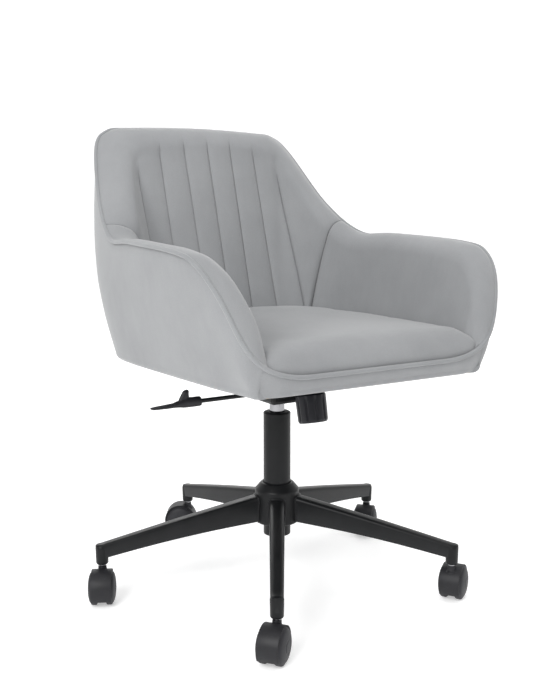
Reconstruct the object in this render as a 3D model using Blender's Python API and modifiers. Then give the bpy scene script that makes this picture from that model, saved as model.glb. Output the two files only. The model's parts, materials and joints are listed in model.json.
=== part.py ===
"""Upholstered tub desk chair: five-star base on casters, gas lift, swivel-tilt mechanism, padded shell.

Metres, +Z up, seat front towards -Y. The origin is under the middle of the chair's box, on the floor.
"""
import math

import bmesh
import bpy
from mathutils import Matrix, Vector

NAME = "tub_desk_chair"
AXIS_X = 0.0134
AXIS_Y = -0.0245
GAP = 0.0003

# Base and casters
SOCKET_RADIUS = 0.325
SOCKET_BOTTOM = 0.068
FIRST_ARM_DEG = -122.7
ARM_COUNT = 5
TRAIL = 0.015
TRAIL_DEG = (-142.7, 32.6, -138.0, 147.0, -118.0)
WHEEL_RADIUS = 0.030
WHEEL_INNER = 0.0080
WHEEL_TREAD = 0.0178
WHEEL_DOME = 0.0250
HUB_RADIUS = 0.041
HUB_BOTTOM = 0.114
HUB_TOP = 0.176

# Gas lift
TUBE_RADIUS = 0.025
TUBE_BOTTOM = 0.090
TUBE_TOP = 0.321
GAS_RADIUS = 0.014
GAS_BOTTOM = 0.175
GAS_TOP = 0.3695

# Tilt mechanism
HOUSING_BOTTOM = 0.350
HOUSING_TOP = 0.388
SOCKET_TOP = 0.3690
TONGUE_BOTTOM = 0.379
PIVOT_Y = 0.040
PIVOT_Z = 0.375
PLATE_BOTTOM = 0.4100
PLATE_TOP = 0.4140
KNOB_Y = -0.105
KNOB_LEAN_DEG = 12.0
LEVER_Y = -0.040
LEVER_Z = 0.368
BOLT_X = 0.075
BOLT_YS = (-0.125, 0.115)

# Seat shell
FOOT_Z = 0.418
BOARD_BOTTOM = 0.4165
BOARD_TOP = 0.4295
PAD_Z = 0.4320
COVER_DEPTH = 0.07
SHELL_FROM = 0.085
SHELL_TO = 0.24
PAD_FROM = 0.29
WELT_RADIUS = 0.0035
WELT_OFFSET = 0.0045
ROLL_HEIGHT = 0.004
SEAM_STATION = 6.5
FRONT_Y = -0.300
WELT_FRONT_Z = 0.445

# Half of the tub wall, from the front corner to the middle of the back. Each station holds the piping,
# the inner lip at the same station, the foot of the outer face and the foot of the inner face.
STATIONS = (
    ((0.195, -0.300, 0.445), (0.150, -0.300, 0.445), (0.221, -0.290), (0.150, -0.286)),
    ((0.240, -0.294, 0.493), (0.196, -0.292, 0.493), (0.223, -0.280), (0.183, -0.277)),
    ((0.270, -0.270, 0.566), (0.225, -0.268, 0.566), (0.225, -0.262), (0.188, -0.260)),
    ((0.286, -0.230, 0.612), (0.240, -0.228, 0.612), (0.229, -0.225), (0.190, -0.223)),
    ((0.290, -0.170, 0.628), (0.244, -0.170, 0.628), (0.235, -0.170), (0.194, -0.170)),
    ((0.285, 0.000, 0.636), (0.239, 0.000, 0.636), (0.243, 0.000), (0.202, 0.000)),
    ((0.272, 0.109, 0.638), (0.225, 0.097, 0.638), (0.246, 0.100), (0.192, 0.080)),
    ((0.250, 0.200, 0.695), (0.203, 0.167, 0.694), (0.231, 0.165), (0.160, 0.120)),
    ((0.225, 0.285, 0.803), (0.182, 0.243, 0.795), (0.192, 0.215), (0.122, 0.137)),
    ((0.195, 0.307, 0.835), (0.160, 0.257, 0.823), (0.158, 0.233), (0.095, 0.142)),
    ((0.140, 0.311, 0.840), (0.120, 0.260, 0.828), (0.115, 0.243), (0.065, 0.144)),
    ((0.000, 0.315, 0.843), (0.000, 0.262, 0.831), (0.000, 0.248), (0.000, 0.145)),
)
LAST = len(STATIONS) - 1

# Where the wall is cut into sections, from the right front corner to the middle of the back.
HALF_SECTIONS = (0.0, 0.5, 1.0, 1.5, 2.0, 3.0, 4.0, 5.0, 6.0, 6.5, 7.0, 7.5, 8.0, 8.5, 9.0, 10.0, 11.0)
RISES = (0.0, 0.25, 0.5, 0.75, 1.0)


def clear_scene():
    for obj in list(bpy.data.objects):
        bpy.data.objects.remove(obj, do_unlink=True)


def collection(name):
    made = bpy.data.collections.new(name)
    bpy.context.scene.collection.children.link(made)
    return made


clear_scene()
PARTS = collection(NAME)
CUTTERS = collection(NAME + "_cutters")


def material(name, color, roughness, metallic=0.0):
    made = bpy.data.materials.new(name)
    made.use_nodes = True
    shader = made.node_tree.nodes["Principled BSDF"]
    shader.inputs["Base Color"].default_value = (*color, 1.0)
    shader.inputs["Roughness"].default_value = roughness
    shader.inputs["Metallic"].default_value = metallic
    return made


FABRIC = material("fabric", (0.52, 0.54, 0.55), 0.85)
PIPING = material("piping", (0.46, 0.48, 0.49), 0.85)
LINING = material("lining", (0.03, 0.03, 0.03), 0.9)
PLYWOOD = material("plywood", (0.55, 0.40, 0.24), 0.6)
BLACK_STEEL = material("black_steel", (0.018, 0.018, 0.02), 0.35, 0.4)
CHROME = material("chrome", (0.8, 0.8, 0.82), 0.12, 1.0)
ZINC = material("zinc", (0.55, 0.56, 0.58), 0.35, 1.0)
NYLON = material("nylon", (0.022, 0.022, 0.025), 0.5)
TREAD = material("tread", (0.03, 0.03, 0.033), 0.6)
SPRING_STEEL = material("spring_steel", (0.3, 0.3, 0.32), 0.35, 1.0)


def empty(name, location, parent=None, turn_deg=0.0):
    made = bpy.data.objects.new(name, None)
    PARTS.objects.link(made)
    made.parent = parent
    made.location = location
    made.rotation_euler[2] = math.radians(turn_deg)
    return made


AXIS = empty("swivel_axis", (AXIS_X, AXIS_Y, 0.0))


def place(obj, finish, parent=None, location=(0, 0, 0), smooth=True):
    """Files an object under its parent with its own material."""
    obj.parent = parent or AXIS
    obj.location = location
    obj.data.materials.clear()
    obj.data.materials.append(finish)
    if smooth:
        obj.data.shade_smooth()
        obj.data.set_sharp_from_angle(angle=math.radians(35))
    return obj


def from_bmesh(name, mesh, into=None):
    bmesh.ops.recalc_face_normals(mesh, faces=mesh.faces)
    data = bpy.data.meshes.new(name)
    mesh.to_mesh(data)
    mesh.free()
    made = bpy.data.objects.new(name, data)
    (into or PARTS).objects.link(made)
    return made


def box(name, low, high, into=None):
    mesh = bmesh.new()
    bmesh.ops.create_cube(mesh, size=1.0)
    size = Vector(high) - Vector(low)
    middle = (Vector(high) + Vector(low)) / 2
    bmesh.ops.scale(mesh, vec=size, verts=mesh.verts)
    bmesh.ops.translate(mesh, vec=middle, verts=mesh.verts)
    return from_bmesh(name, mesh, into)


def rod(name, start, end, radius, sides=24, end_radius=None, into=None):
    """A cylinder or cone frustum between two points."""
    start, end = Vector(start), Vector(end)
    way = end - start
    mesh = bmesh.new()
    far = radius if end_radius is None else end_radius
    bmesh.ops.create_cone(mesh, cap_ends=True, segments=sides, radius1=radius, radius2=far, depth=way.length)
    turn = Vector((0, 0, 1)).rotation_difference(way).to_matrix().to_4x4()
    bmesh.ops.transform(mesh, matrix=Matrix.Translation((start + end) / 2) @ turn, verts=mesh.verts)
    return from_bmesh(name, mesh, into)


def turned(name, profile, steps=32, into=None):
    """A solid of revolution about Z; the profile's (radius, height) points run down the outer side."""
    data = bpy.data.meshes.new(name)
    count = len(profile)
    closed = profile[0][0] > 0 or profile[-1][0] > 0
    edges = [(k, k + 1) for k in range(count - 1)]
    if closed:
        edges.append((count - 1, 0))
    data.from_pydata([(r, 0.0, z) for r, z in profile], edges, [])
    made = bpy.data.objects.new(name, data)
    (into or PARTS).objects.link(made)
    screw = made.modifiers.new("turn", "SCREW")
    screw.steps = steps
    screw.render_steps = steps
    screw.use_merge_vertices = True
    screw.merge_threshold = 0.00005
    screw.use_normal_calculate = True
    return baked(made)


def baked(obj):
    """Freezes an object's modifiers into its mesh and welds coincident points."""
    bpy.context.view_layer.update()
    seen = obj.evaluated_get(bpy.context.evaluated_depsgraph_get())
    data = bpy.data.meshes.new_from_object(seen)
    mesh = bmesh.new()
    mesh.from_mesh(data)
    bmesh.ops.remove_doubles(mesh, verts=mesh.verts, dist=0.00002)
    bmesh.ops.recalc_face_normals(mesh, faces=mesh.faces)
    mesh.to_mesh(data)
    mesh.free()
    name = obj.name
    into = obj.users_collection[0]
    matrix = obj.matrix_world.copy()
    bpy.data.objects.remove(obj, do_unlink=True)
    made = bpy.data.objects.new(name, data)
    into.objects.link(made)
    made.matrix_world = matrix
    return made


def boolean(obj, other, operation):
    step = obj.modifiers.new(operation.lower(), "BOOLEAN")
    step.operation = operation
    step.object = other
    step.solver = "EXACT"
    other.hide_render = True
    other.display_type = "WIRE"


def cut(obj, *cutters):
    for cutter in cutters:
        boolean(obj, cutter, "DIFFERENCE")
    done = baked(obj)
    for cutter in cutters:
        bpy.data.objects.remove(cutter, do_unlink=True)
    return done


def join(obj, *others):
    for other in others:
        boolean(obj, other, "UNION")
    done = baked(obj)
    for other in others:
        bpy.data.objects.remove(other, do_unlink=True)
    return done


def bevel(obj, width, segments=2, limit_deg=30):
    step = obj.modifiers.new("bevel", "BEVEL")
    step.width = width
    step.segments = segments
    step.limit_method = "ANGLE"
    step.angle_limit = math.radians(limit_deg)
    return baked(obj)


def tube(name, points, radius, cyclic=False, resolution=2):
    curve = bpy.data.curves.new(name, "CURVE")
    curve.dimensions = "3D"
    curve.bevel_depth = radius
    curve.bevel_resolution = resolution
    curve.use_fill_caps = True
    line = curve.splines.new("POLY")
    line.points.add(len(points) - 1)
    for slot, point in zip(line.points, points):
        slot.co = (*point, 1.0)
    line.use_cyclic_u = cyclic
    made = bpy.data.objects.new(name, curve)
    PARTS.objects.link(made)
    return baked(made)


def loft(name, rings, cyclic=False):
    """Skins closed rings of equal length, and caps the ends of an open row of rings."""
    mesh = bmesh.new()
    rows = [[mesh.verts.new(point) for point in ring] for ring in rings]
    count = len(rows[0])
    pairs = list(zip(rows, rows[1:]))
    if cyclic:
        pairs.append((rows[-1], rows[0]))
    for near, far in pairs:
        for k in range(count):
            after = (k + 1) % count
            skin_cell(mesh, near[k], near[after], far[after], far[k])
    if not cyclic:
        ladder_cap(mesh, rows[0])
        ladder_cap(mesh, rows[-1])
    return from_bmesh(name, mesh)


def skin_cell(mesh, low, high, far_high, far_low):
    """Two triangles whose shared edge always rises from the near ring, so nested layers stay parallel."""
    if low.co.z <= high.co.z:
        mesh.faces.new((low, high, far_high))
        mesh.faces.new((low, far_high, far_low))
    else:
        mesh.faces.new((low, high, far_low))
        mesh.faces.new((high, far_high, far_low))


def ladder_cap(mesh, ring):
    """Closes a long ring with rungs between its two sides, the same way on every section."""
    near, far = 0, len(ring) - 1
    while far - near >= 2:
        if far - near == 2:
            mesh.faces.new((ring[near], ring[near + 1], ring[far]))
            return
        mesh.faces.new((ring[near], ring[near + 1], ring[far]))
        mesh.faces.new((ring[near + 1], ring[far - 1], ring[far]))
        near += 1
        far -= 1


# ---------------------------------------------------------------- tub wall


def mix(values, t):
    """Catmull-Rom through four vectors."""
    before, start, end, after = values
    return 0.5 * (
        2 * start
        + (end - before) * t
        + (2 * before - 5 * start + 4 * end - after) * t * t
        + (3 * start - before - 3 * end + after) * t * t * t
    )


def station_value(index, item):
    """A station's vector; past the back it is the mirror image, past the front a straight run-out."""
    if index < 0:
        return 2 * station_value(0, item) - station_value(-index, item)
    if index > LAST:
        mirrored = station_value(2 * LAST - index, item)
        return Vector((-mirrored.x, mirrored.y, mirrored.z))
    value = STATIONS[index][item]
    return Vector(value) if len(value) == 3 else Vector((*value, FOOT_Z))


def along(item, s):
    """A guide curve at s from 0, the right front corner, round the back to 2 * LAST, the left one."""
    side = 1.0
    if s > LAST:
        s = 2 * LAST - s
        side = -1.0
    base = min(int(math.floor(s)), LAST - 1)
    point = mix([station_value(base + k, item) for k in (-1, 0, 1, 2)], s - base)
    point.x *= side
    return point


def smoothstep(value):
    value = max(0.0, min(1.0, value))
    return value * value * (3 - 2 * value)


def wall_point(s, depth, rise):
    """A point in the wall: depth 0 outer face to 1 inner face, rise 0 foot to 1 piping."""
    piping, lip = along(0, s), along(1, s)
    outer_foot, inner_foot = along(2, s), along(3, s)
    back = smoothstep((min(s, 2 * LAST - s) - 5.5) / 2.5)
    outward = Vector((piping.x - lip.x, piping.y - lip.y, 0)).normalized()
    bulge = outward * (0.006 + 0.012 * back) * math.sin(math.pi * rise) * smoothstep(min(s, 2 * LAST - s))
    outer = outer_foot.lerp(piping, rise) + bulge
    inner = inner_foot.lerp(lip, rise)
    return outer.lerp(inner, depth)


def rise_at(s, depth, height):
    """The rise at which a wall layer passes a height."""
    low = wall_point(s, depth, 0.0).z
    high = wall_point(s, depth, 1.0).z
    return (height - low) / (high - low)


def lip_roll(s, angle):
    """The padded roll over the wall's edge, from the inner lip at 0 to the piping at pi."""
    piping, lip = along(0, s), along(1, s)
    ahead, behind = along(0, min(s + 0.02, 2 * LAST)), along(0, max(s - 0.02, 0.0))
    across = (lip - piping).normalized()
    up = (ahead - behind).cross(across).normalized()
    if up.z < 0 or (up.z < 0.3 and up.y > 0):
        up = -up
    height = ROLL_HEIGHT * smoothstep(min(s, 2 * LAST - s) / 1.5)
    middle = lip.lerp(piping, (1 - math.cos(angle)) / 2)
    return middle + up * height * math.sin(angle)


def span(start, end, count):
    return [start + (end - start) * k / (count - 1) for k in range(count)]


def sections(start, end):
    """The wall's section places between two of its places, ends included."""
    whole = list(HALF_SECTIONS) + [2 * LAST - s for s in reversed(HALF_SECTIONS[:-1])]
    return [start] + [s for s in whole if start + 0.1 < s < end - 0.1] + [end]


def wall_layer(name, near, far, top):
    rings = []
    for s in sections(0, 2 * LAST):
        ring = [wall_point(s, near, min(rise, top)) for rise in RISES]
        ring += [wall_point(s, far, min(rise, top)) for rise in reversed(RISES)]
        rings.append(ring)
    return loft(name, rings)


def pad(name, start, end):
    """Foam and cover from the shell to the inner face, rolled over the shell's edge to the piping."""
    rings = []
    for s in sections(start, end):
        foot = rise_at(s, 1.0, PAD_Z)
        rises = [max(rise, foot + 0.02 * k) for k, rise in enumerate(RISES)]
        ring = [wall_point(s, 1.0, min(rise, 0.94)) for rise in rises]
        ring += [lip_roll(s, math.pi * turn / 5) for turn in range(5)]
        ring.append(wall_point(s, 0.12, 0.995))
        ring.append(wall_point(s, 0.12, 0.970))
        ring += [wall_point(s, PAD_FROM, min(rise, 0.970)) for rise in reversed(rises)]
        rings.append(ring)
    return loft(name, rings)


def inner_outline(height, inset, count=24):
    """The inner face's outline at a height, from the right front corner round the back, pulled in."""
    first = 0.0
    while along(1, first).z < height + 0.003:
        first += 0.02
    points = []
    for s in span(first, 2 * LAST - first, count):
        at = wall_point(s, 1.0, max(0.0, rise_at(s, 1.0, height)))
        away = Vector((at.x, at.y + 0.03, 0)).normalized()
        points.append(Vector((at.x, max(at.y, FRONT_Y + 0.004), height)) - away * inset)
    return points


# ---------------------------------------------------------------- upholstered seat


def outer_cover():
    place(wall_layer("outer_cover", 0.0, COVER_DEPTH, 1.0), FABRIC)


def bucket_shell():
    place(wall_layer("bucket_shell", SHELL_FROM, SHELL_TO, 0.955), PLYWOOD)


def pads():
    seam = SEAM_STATION
    place(pad("arm_pad_left", 0.0, seam - 0.01), FABRIC)
    place(pad("back_pad", seam + 0.01, 2 * LAST - seam - 0.01), FABRIC)
    place(pad("arm_pad_right", 2 * LAST - seam + 0.01, 2 * LAST), FABRIC)


def seat_cushion():
    heights = ((PAD_Z, 0.004), (0.445, 0.003), (0.460, 0.003), (0.472, 0.004))
    rings = [inner_outline(height, inset) for height, inset in heights]
    middle = Vector((0, -0.07, 0))
    for shrink, height in ((0.95, 0.478), (0.75, 0.483), (0.40, 0.486)):
        ring = []
        for point in rings[3]:
            flat = Vector((point.x, point.y, 0))
            near = middle + (flat - middle) * shrink
            ring.append(Vector((near.x, near.y, height)))
        rings.append(ring)
    place(loft("seat_cushion", rings), FABRIC)


def front_apron():
    sheet = bmesh.new()
    rows = []
    for height, y in ((FOOT_Z, -0.2945), (FOOT_Z + 0.010, -0.3000), (0.4395, -0.3030)):
        rows.append([sheet.verts.new((x, y, height)) for x in span(-0.200, 0.200, 7)])
    for low, high in zip(rows, rows[1:]):
        for k in range(6):
            sheet.faces.new((low[k], low[k + 1], high[k + 1], high[k]))
    apron = from_bmesh("front_apron", sheet)
    thick = apron.modifiers.new("thickness", "SOLIDIFY")
    thick.thickness = 0.0018
    thick.offset = 0.0
    place(baked(apron), FABRIC)


def welt_piping():
    points = []
    for s in span(0.0, 2 * LAST, 54):
        piping, lip = along(0, s), along(1, s)
        outward = Vector((piping.x - lip.x, piping.y - lip.y, 0)).normalized()
        front = 1.0 - smoothstep(min(s, 2 * LAST - s) / 1.5)
        outward = (outward + Vector((0, -1.6 * front, 0))).normalized()
        points.append(piping + outward * WELT_OFFSET)
    for x in span(-0.150, 0.150, 3):
        points.append(Vector((x, FRONT_Y - 0.0045, WELT_FRONT_Z)))
    place(tube("welt_piping", points, WELT_RADIUS, cyclic=True, resolution=1), PIPING)


def board_outline(depth, inset):
    points = []
    for s in span(0, 2 * LAST, 23):
        at = wall_point(s, depth, 0.0)
        away = Vector((at.x, at.y + 0.03, 0)).normalized()
        points.append(at - away * inset)
    return points


def bolt_holes(name, radius):
    holes = []
    for x in (-BOLT_X, BOLT_X):
        for y in BOLT_YS:
            holes.append(rod(name, (x, y, 0.38), (x, y, 0.46), radius, 8, into=CUTTERS))
    return holes


def layer_plate(name, low, high, inset):
    outline = board_outline(SHELL_TO, inset)
    rings = [[Vector((p.x, p.y, z)) for p in outline] for z in (low, high)]
    return cut(loft(name, rings), *bolt_holes(name + "_hole", 0.0034))


def seat_boards():
    place(layer_plate("seat_board", BOARD_BOTTOM, BOARD_TOP, 0.004), PLYWOOD, smooth=False)
    place(layer_plate("dust_cover", 0.4146, 0.4160, 0.010), LINING, smooth=False)


def seat_bolts():
    for number, (x, y) in enumerate([(x, y) for x in (-BOLT_X, BOLT_X) for y in BOLT_YS], 1):
        name = "seat_bolt_%d" % number
        head = rod(name, (x, y, PLATE_BOTTOM - 0.0045), (x, y, PLATE_BOTTOM - GAP), 0.0055, 6)
        shank = rod(name + "_shank", (x, y, PLATE_BOTTOM - 0.001), (x, y, BOARD_TOP - 0.001), 0.003, 8)
        place(join(head, shank), ZINC)


# ---------------------------------------------------------------- tilt mechanism


def mechanism_housing():
    """Pressed steel tray with the taper socket for the gas cylinder and slots for lever and bolt."""
    outer = box("mechanism_housing", (-0.055, -0.072, HOUSING_BOTTOM), (0.055, 0.062, HOUSING_TOP))
    outer = bevel(outer, 0.006)
    inner = box("tray", (-0.052, -0.069, HOUSING_BOTTOM + 0.003), (0.052, 0.059, 0.45), CUTTERS)
    tray = cut(outer, inner)
    socket = rod("socket", (0, 0, HOUSING_BOTTOM + 0.001), (0, 0, SOCKET_TOP), 0.021, 20, 0.019)
    tongue = box("tongue", (-0.040, -0.136, TONGUE_BOTTOM), (0.040, -0.070, TONGUE_BOTTOM + 0.005))
    tray = join(tray, socket, tongue)
    bore = rod("bore", (0, 0, 0.30), (0, 0, 0.40), GAS_RADIUS + GAP, 20, into=CUTTERS)
    slot = box("lever_slot", (-0.060, -0.051, 0.358), (-0.045, -0.029, 0.379), CUTTERS)
    throat = rod("throat", (0, KNOB_Y, 0.36), (0, KNOB_Y, 0.42), 0.0065, 16, into=CUTTERS)
    place(cut(tray, bore, slot, throat, axle_bore("pin_bore")), BLACK_STEEL)


def axle_bore(name):
    return rod(name, (-0.08, PIVOT_Y, PIVOT_Z), (0.08, PIVOT_Y, PIVOT_Z), 0.0043, 16, into=CUTTERS)


def tilt_axle():
    place(rod("tilt_axle", (-0.066, PIVOT_Y, PIVOT_Z), (0.066, PIVOT_Y, PIVOT_Z), 0.004, 16), ZINC)


def seat_plate():
    plate = bevel(box("seat_plate", (-0.095, -0.145, PLATE_BOTTOM), (0.095, 0.135, PLATE_TOP)), 0.0012)
    ears = []
    for side in (-1, 1):
        low = (min(side * 0.0575, side * 0.0615), PIVOT_Y - 0.016, PIVOT_Z - 0.012)
        high = (max(side * 0.0575, side * 0.0615), PIVOT_Y + 0.016, PLATE_BOTTOM + 0.001)
        ears.append(box("ear", low, high))
    plate = join(plate, *ears)
    place(cut(plate, axle_bore("ear_bore"), *bolt_holes("plate_hole", 0.0034)), BLACK_STEEL)


def tension_parts():
    """Bolt, spring and cup knob on an axis that leans forward, through the housing's front tongue."""
    frame = empty("knob_axis", (0, KNOB_Y, TONGUE_BOTTOM), AXIS)
    frame.rotation_euler[0] = -math.radians(KNOB_LEAN_DEG)
    bolt = rod("tension_bolt", (0, 0, 0.0120), (0, 0, -0.0450), 0.0040, 16)
    head = rod("bolt_head", (0, 0, 0.0085), (0, 0, 0.0135), 0.0068, 6)
    place(join(bolt, head), ZINC, frame)
    coils, turns, radius, wire = 10, 5, 0.0165, 0.0015
    low, high = -0.0485, -0.0056
    points = []
    steps = coils * turns
    for k in range(steps + 1):
        angle = 2 * math.pi * k / coils
        points.append((radius * math.cos(angle), radius * math.sin(angle), low + (high - low) * k / steps))
    place(tube("tension_spring", points, wire, resolution=1), SPRING_STEEL, frame)
    profile = ((0.0245, -0.0070), (0.0270, -0.0095), (0.0262, -0.0530), (0.0235, -0.0570), (0.0047, -0.0570))
    profile += ((0.0047, -0.0505), (0.0215, -0.0505), (0.0230, -0.0070))
    knob = turned("tension_knob", profile, 30)
    flutes = []
    for k in range(10):
        angle = 2 * math.pi * (k + 0.5) / 10
        x, y = 0.0305 * math.cos(angle), 0.0305 * math.sin(angle)
        flutes.append(rod("flute", (x, y, -0.003), (x, y, -0.062), 0.0048, 8, into=CUTTERS))
    place(cut(knob, *flutes), NYLON, frame)


def lever_parts():
    cradle = box("lever_cradle", (-0.050, -0.051, 0.3600), (-0.024, -0.029, 0.3770))
    bore = rod("cradle_bore", (-0.07, LEVER_Y, LEVER_Z), (0.0, LEVER_Y, LEVER_Z), 0.0044, 16, into=CUTTERS)
    place(cut(bevel(cradle, 0.0015), bore), NYLON)
    route = [(-0.200, LEVER_Y, LEVER_Z), (-0.020, LEVER_Y, LEVER_Z)]
    route += [(-0.012, LEVER_Y + 0.004, LEVER_Z + 0.003), (-0.006, LEVER_Y + 0.014, 0.3775)]
    route += [(-0.001, -0.012, 0.3790), (0.0, 0.006, 0.3790)]
    place(tube("lever_rod", route, 0.0038, resolution=3), BLACK_STEEL)
    place(lever_grip(), NYLON)


def lever_grip():
    """The moulded grip: round sleeve, thumb wing and flat paddle tip."""
    profile = ((0.0, 0.0), (0.0060, 0.0), (0.0085, -0.0035), (0.0085, -0.0300))
    profile += ((0.0070, -0.0350), (0.0, -0.0350))
    grip = turned("lever_grip", profile, 14)
    grip.data.transform(Matrix.Translation((-0.185, LEVER_Y, LEVER_Z)) @ Matrix.Rotation(math.pi / 2, 4, "Y"))
    rings = []
    flats = ((-0.216, 0.0060, -0.006, 0.006), (-0.245, 0.0075, -0.005, 0.001))
    flats += ((-0.272, 0.0050, -0.005, -0.002),)
    for x, half, low, high in flats:
        corners = ((-half, low), (half, low), (half, high), (-half, high))
        rings.append([(x, LEVER_Y + y, LEVER_Z + z) for y, z in corners])
    paddle = loft("paddle", rings)
    wing_rings = []
    for x, z, half in ((-0.211, 0.0, 0.009), (-0.2105, 0.012, 0.0075), (-0.207, 0.022, 0.0045)):
        ring = []
        for k in range(10):
            angle = 2 * math.pi * k / 10
            ring.append((x + half * math.cos(angle), LEVER_Y + 0.0035 * math.sin(angle), LEVER_Z + z))
        wing_rings.append(ring)
    wing = loft("wing", wing_rings)
    grip = join(grip, paddle, wing)
    bore = rod("grip_bore", (-0.2004, LEVER_Y, LEVER_Z), (-0.17, LEVER_Y, LEVER_Z), 0.0041, 16, into=CUTTERS)
    return cut(grip, bore)


# ---------------------------------------------------------------- gas lift


def gas_lift():
    tube_profile = ((0.0236, TUBE_TOP), (TUBE_RADIUS, TUBE_TOP - 0.0015), (TUBE_RADIUS, TUBE_BOTTOM))
    tube_profile += ((0.0058, TUBE_BOTTOM), (0.0058, TUBE_BOTTOM + 0.003), (0.0230, TUBE_BOTTOM + 0.003))
    tube_profile += ((0.0230, TUBE_TOP),)
    place(turned("column_tube", tube_profile, 24), BLACK_STEEL)
    guide = ((0.0149, TUBE_TOP + 0.0015), (0.0222, TUBE_TOP + 0.0005), (0.0226, TUBE_TOP - 0.004))
    guide += ((0.0226, TUBE_TOP - 0.070), (0.0149, TUBE_TOP - 0.070))
    place(turned("guide_bushing", guide, 20), NYLON)
    cylinder = ((0.0045, GAS_TOP), (0.0130, GAS_TOP), (GAS_RADIUS, GAS_TOP - 0.02))
    cylinder += ((GAS_RADIUS, GAS_BOTTOM + 0.002), (0.0125, GAS_BOTTOM), (0.0046, GAS_BOTTOM))
    cylinder += ((0.0046, GAS_TOP - 0.010),)
    place(turned("gas_cylinder", cylinder, 20), CHROME)
    piston = ((0.0, 0.340), (0.0042, 0.340), (0.0042, 0.1055), (0.0110, 0.1050), (0.0110, 0.1020))
    piston += ((0.0050, 0.1015), (0.0050, TUBE_BOTTOM - 0.004), (0.0, TUBE_BOTTOM - 0.004))
    place(turned("piston_rod", piston, 12), ZINC)
    bearing = ((0.0053, 0.1012), (0.0130, 0.1012), (0.0130, 0.0935), (0.0053, 0.0935))
    place(turned("thrust_bearing", bearing, 16), ZINC)
    button = ((0.0, 0.3745), (0.0030, 0.3745), (0.0038, 0.3735), (0.0038, 0.3640), (0.0, 0.3640))
    place(turned("valve_button", button, 10), ZINC)


# ---------------------------------------------------------------- star base


def hub():
    outer = ((0.0262, 0.1895), (0.0300, 0.1890), (HUB_RADIUS, HUB_TOP), (HUB_RADIUS, HUB_BOTTOM + 0.004))
    outer += ((HUB_RADIUS - 0.004, HUB_BOTTOM), (TUBE_RADIUS + GAP, HUB_BOTTOM), (TUBE_RADIUS + GAP, 0.1880))
    place(turned("base_hub", outer, 30), BLACK_STEEL)


def arm_ring(distance, half_width, low, high):
    """Arm section: flat underside, straight sides, rounded crown."""
    shoulder = high - half_width * 0.75
    points = [(distance, -half_width * 0.9, low), (distance, half_width * 0.9, low)]
    for k in range(5):
        angle = math.pi * k / 4
        across = half_width * math.cos(angle)
        points.append((distance, across, shoulder + (high - shoulder) * math.sin(angle)))
    return points


def base_arm(number):
    turn = FIRST_ARM_DEG + 72.0 * (number - 1)
    frame = empty("arm_axis_%d" % number, (0, 0, 0), AXIS, turn)
    name = "base_arm_%d" % number
    rings = []
    for t in span(0.0, 1.0, 4):
        distance = HUB_RADIUS + GAP + t * (SOCKET_RADIUS - 0.004 - HUB_RADIUS)
        half = 0.0145 + (0.0108 - 0.0145) * t
        low = 0.119 + (0.0800 - 0.119) * t + 0.004 * math.sin(math.pi * t)
        high = 0.1665 + (0.1050 - 0.1665) * t + 0.001 * math.sin(math.pi * t)
        rings.append(arm_ring(distance, half, low, high))
    beam = loft(name, rings)
    foot, head = (SOCKET_RADIUS, 0, SOCKET_BOTTOM), (SOCKET_RADIUS, 0, 0.1035)
    post = rod("post", foot, head, 0.0105, 16, 0.0115)
    post = bevel(post, 0.003, 1, 50)
    beam = join(beam, post)
    bore = rod("bore", (SOCKET_RADIUS, 0, 0.05), (SOCKET_RADIUS, 0, 0.096), 0.0062, 12, into=CUTTERS)
    saddle = rod("saddle", (0, 0, 0.05), (0, 0, 0.25), HUB_RADIUS + GAP, 30, into=CUTTERS)
    place(cut(beam, bore, saddle), BLACK_STEEL, frame)
    return frame


# ---------------------------------------------------------------- casters


def wheel_profile():
    """Half of the tread and domed face, from the inner face outwards, as (radius, width) points."""
    points = [(WHEEL_RADIUS - 0.0008, WHEEL_INNER), (WHEEL_RADIUS, WHEEL_INNER + 0.0008)]
    points.append((WHEEL_RADIUS, WHEEL_TREAD))
    for k in range(1, 4):
        t = k / 3
        radius = WHEEL_RADIUS * (1 - t) + 0.0045 * t
        points.append((radius, WHEEL_TREAD + (WHEEL_DOME - WHEEL_TREAD) * math.sqrt(1 - (1 - t) ** 2)))
    return points


def caster(number):
    angle = math.radians(FIRST_ARM_DEG + 72.0 * (number - 1))
    stand = (SOCKET_RADIUS * math.cos(angle), SOCKET_RADIUS * math.sin(angle), 0)
    frame = empty("caster_axis_%d" % number, stand, AXIS, TRAIL_DEG[number - 1])
    tag = "_%d" % number

    stem = ((0.0, 0.0950), (0.0045, 0.0950), (0.0055, 0.0935), (0.0055, 0.0675), (0.0068, 0.0670))
    stem += ((0.0068, 0.0655), (0.0045, 0.0652), (0.0045, 0.0480), (0.0, 0.0480))
    place(turned("caster_stem" + tag, stem, 10), CHROME, frame)

    axle_z = WHEEL_RADIUS
    axle = rod("caster_axle" + tag, (TRAIL, -0.0235, axle_z), (TRAIL, 0.0235, axle_z), 0.0030, 10)
    place(axle, ZINC, frame)

    for side, letter in ((-1, "a"), (1, "b")):
        profile = list(reversed(wheel_profile()))
        profile += [(0.0032, WHEEL_INNER), (0.0032, WHEEL_DOME)]
        wheel = turned("caster_wheel" + tag + letter, profile, 16)
        wheel.data.transform(Matrix.Rotation(-side * math.pi / 2, 4, "X"))
        place(wheel, TREAD, frame, (TRAIL, 0, axle_z))

    place(caster_hood("caster_hood" + tag), NYLON, frame)


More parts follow.
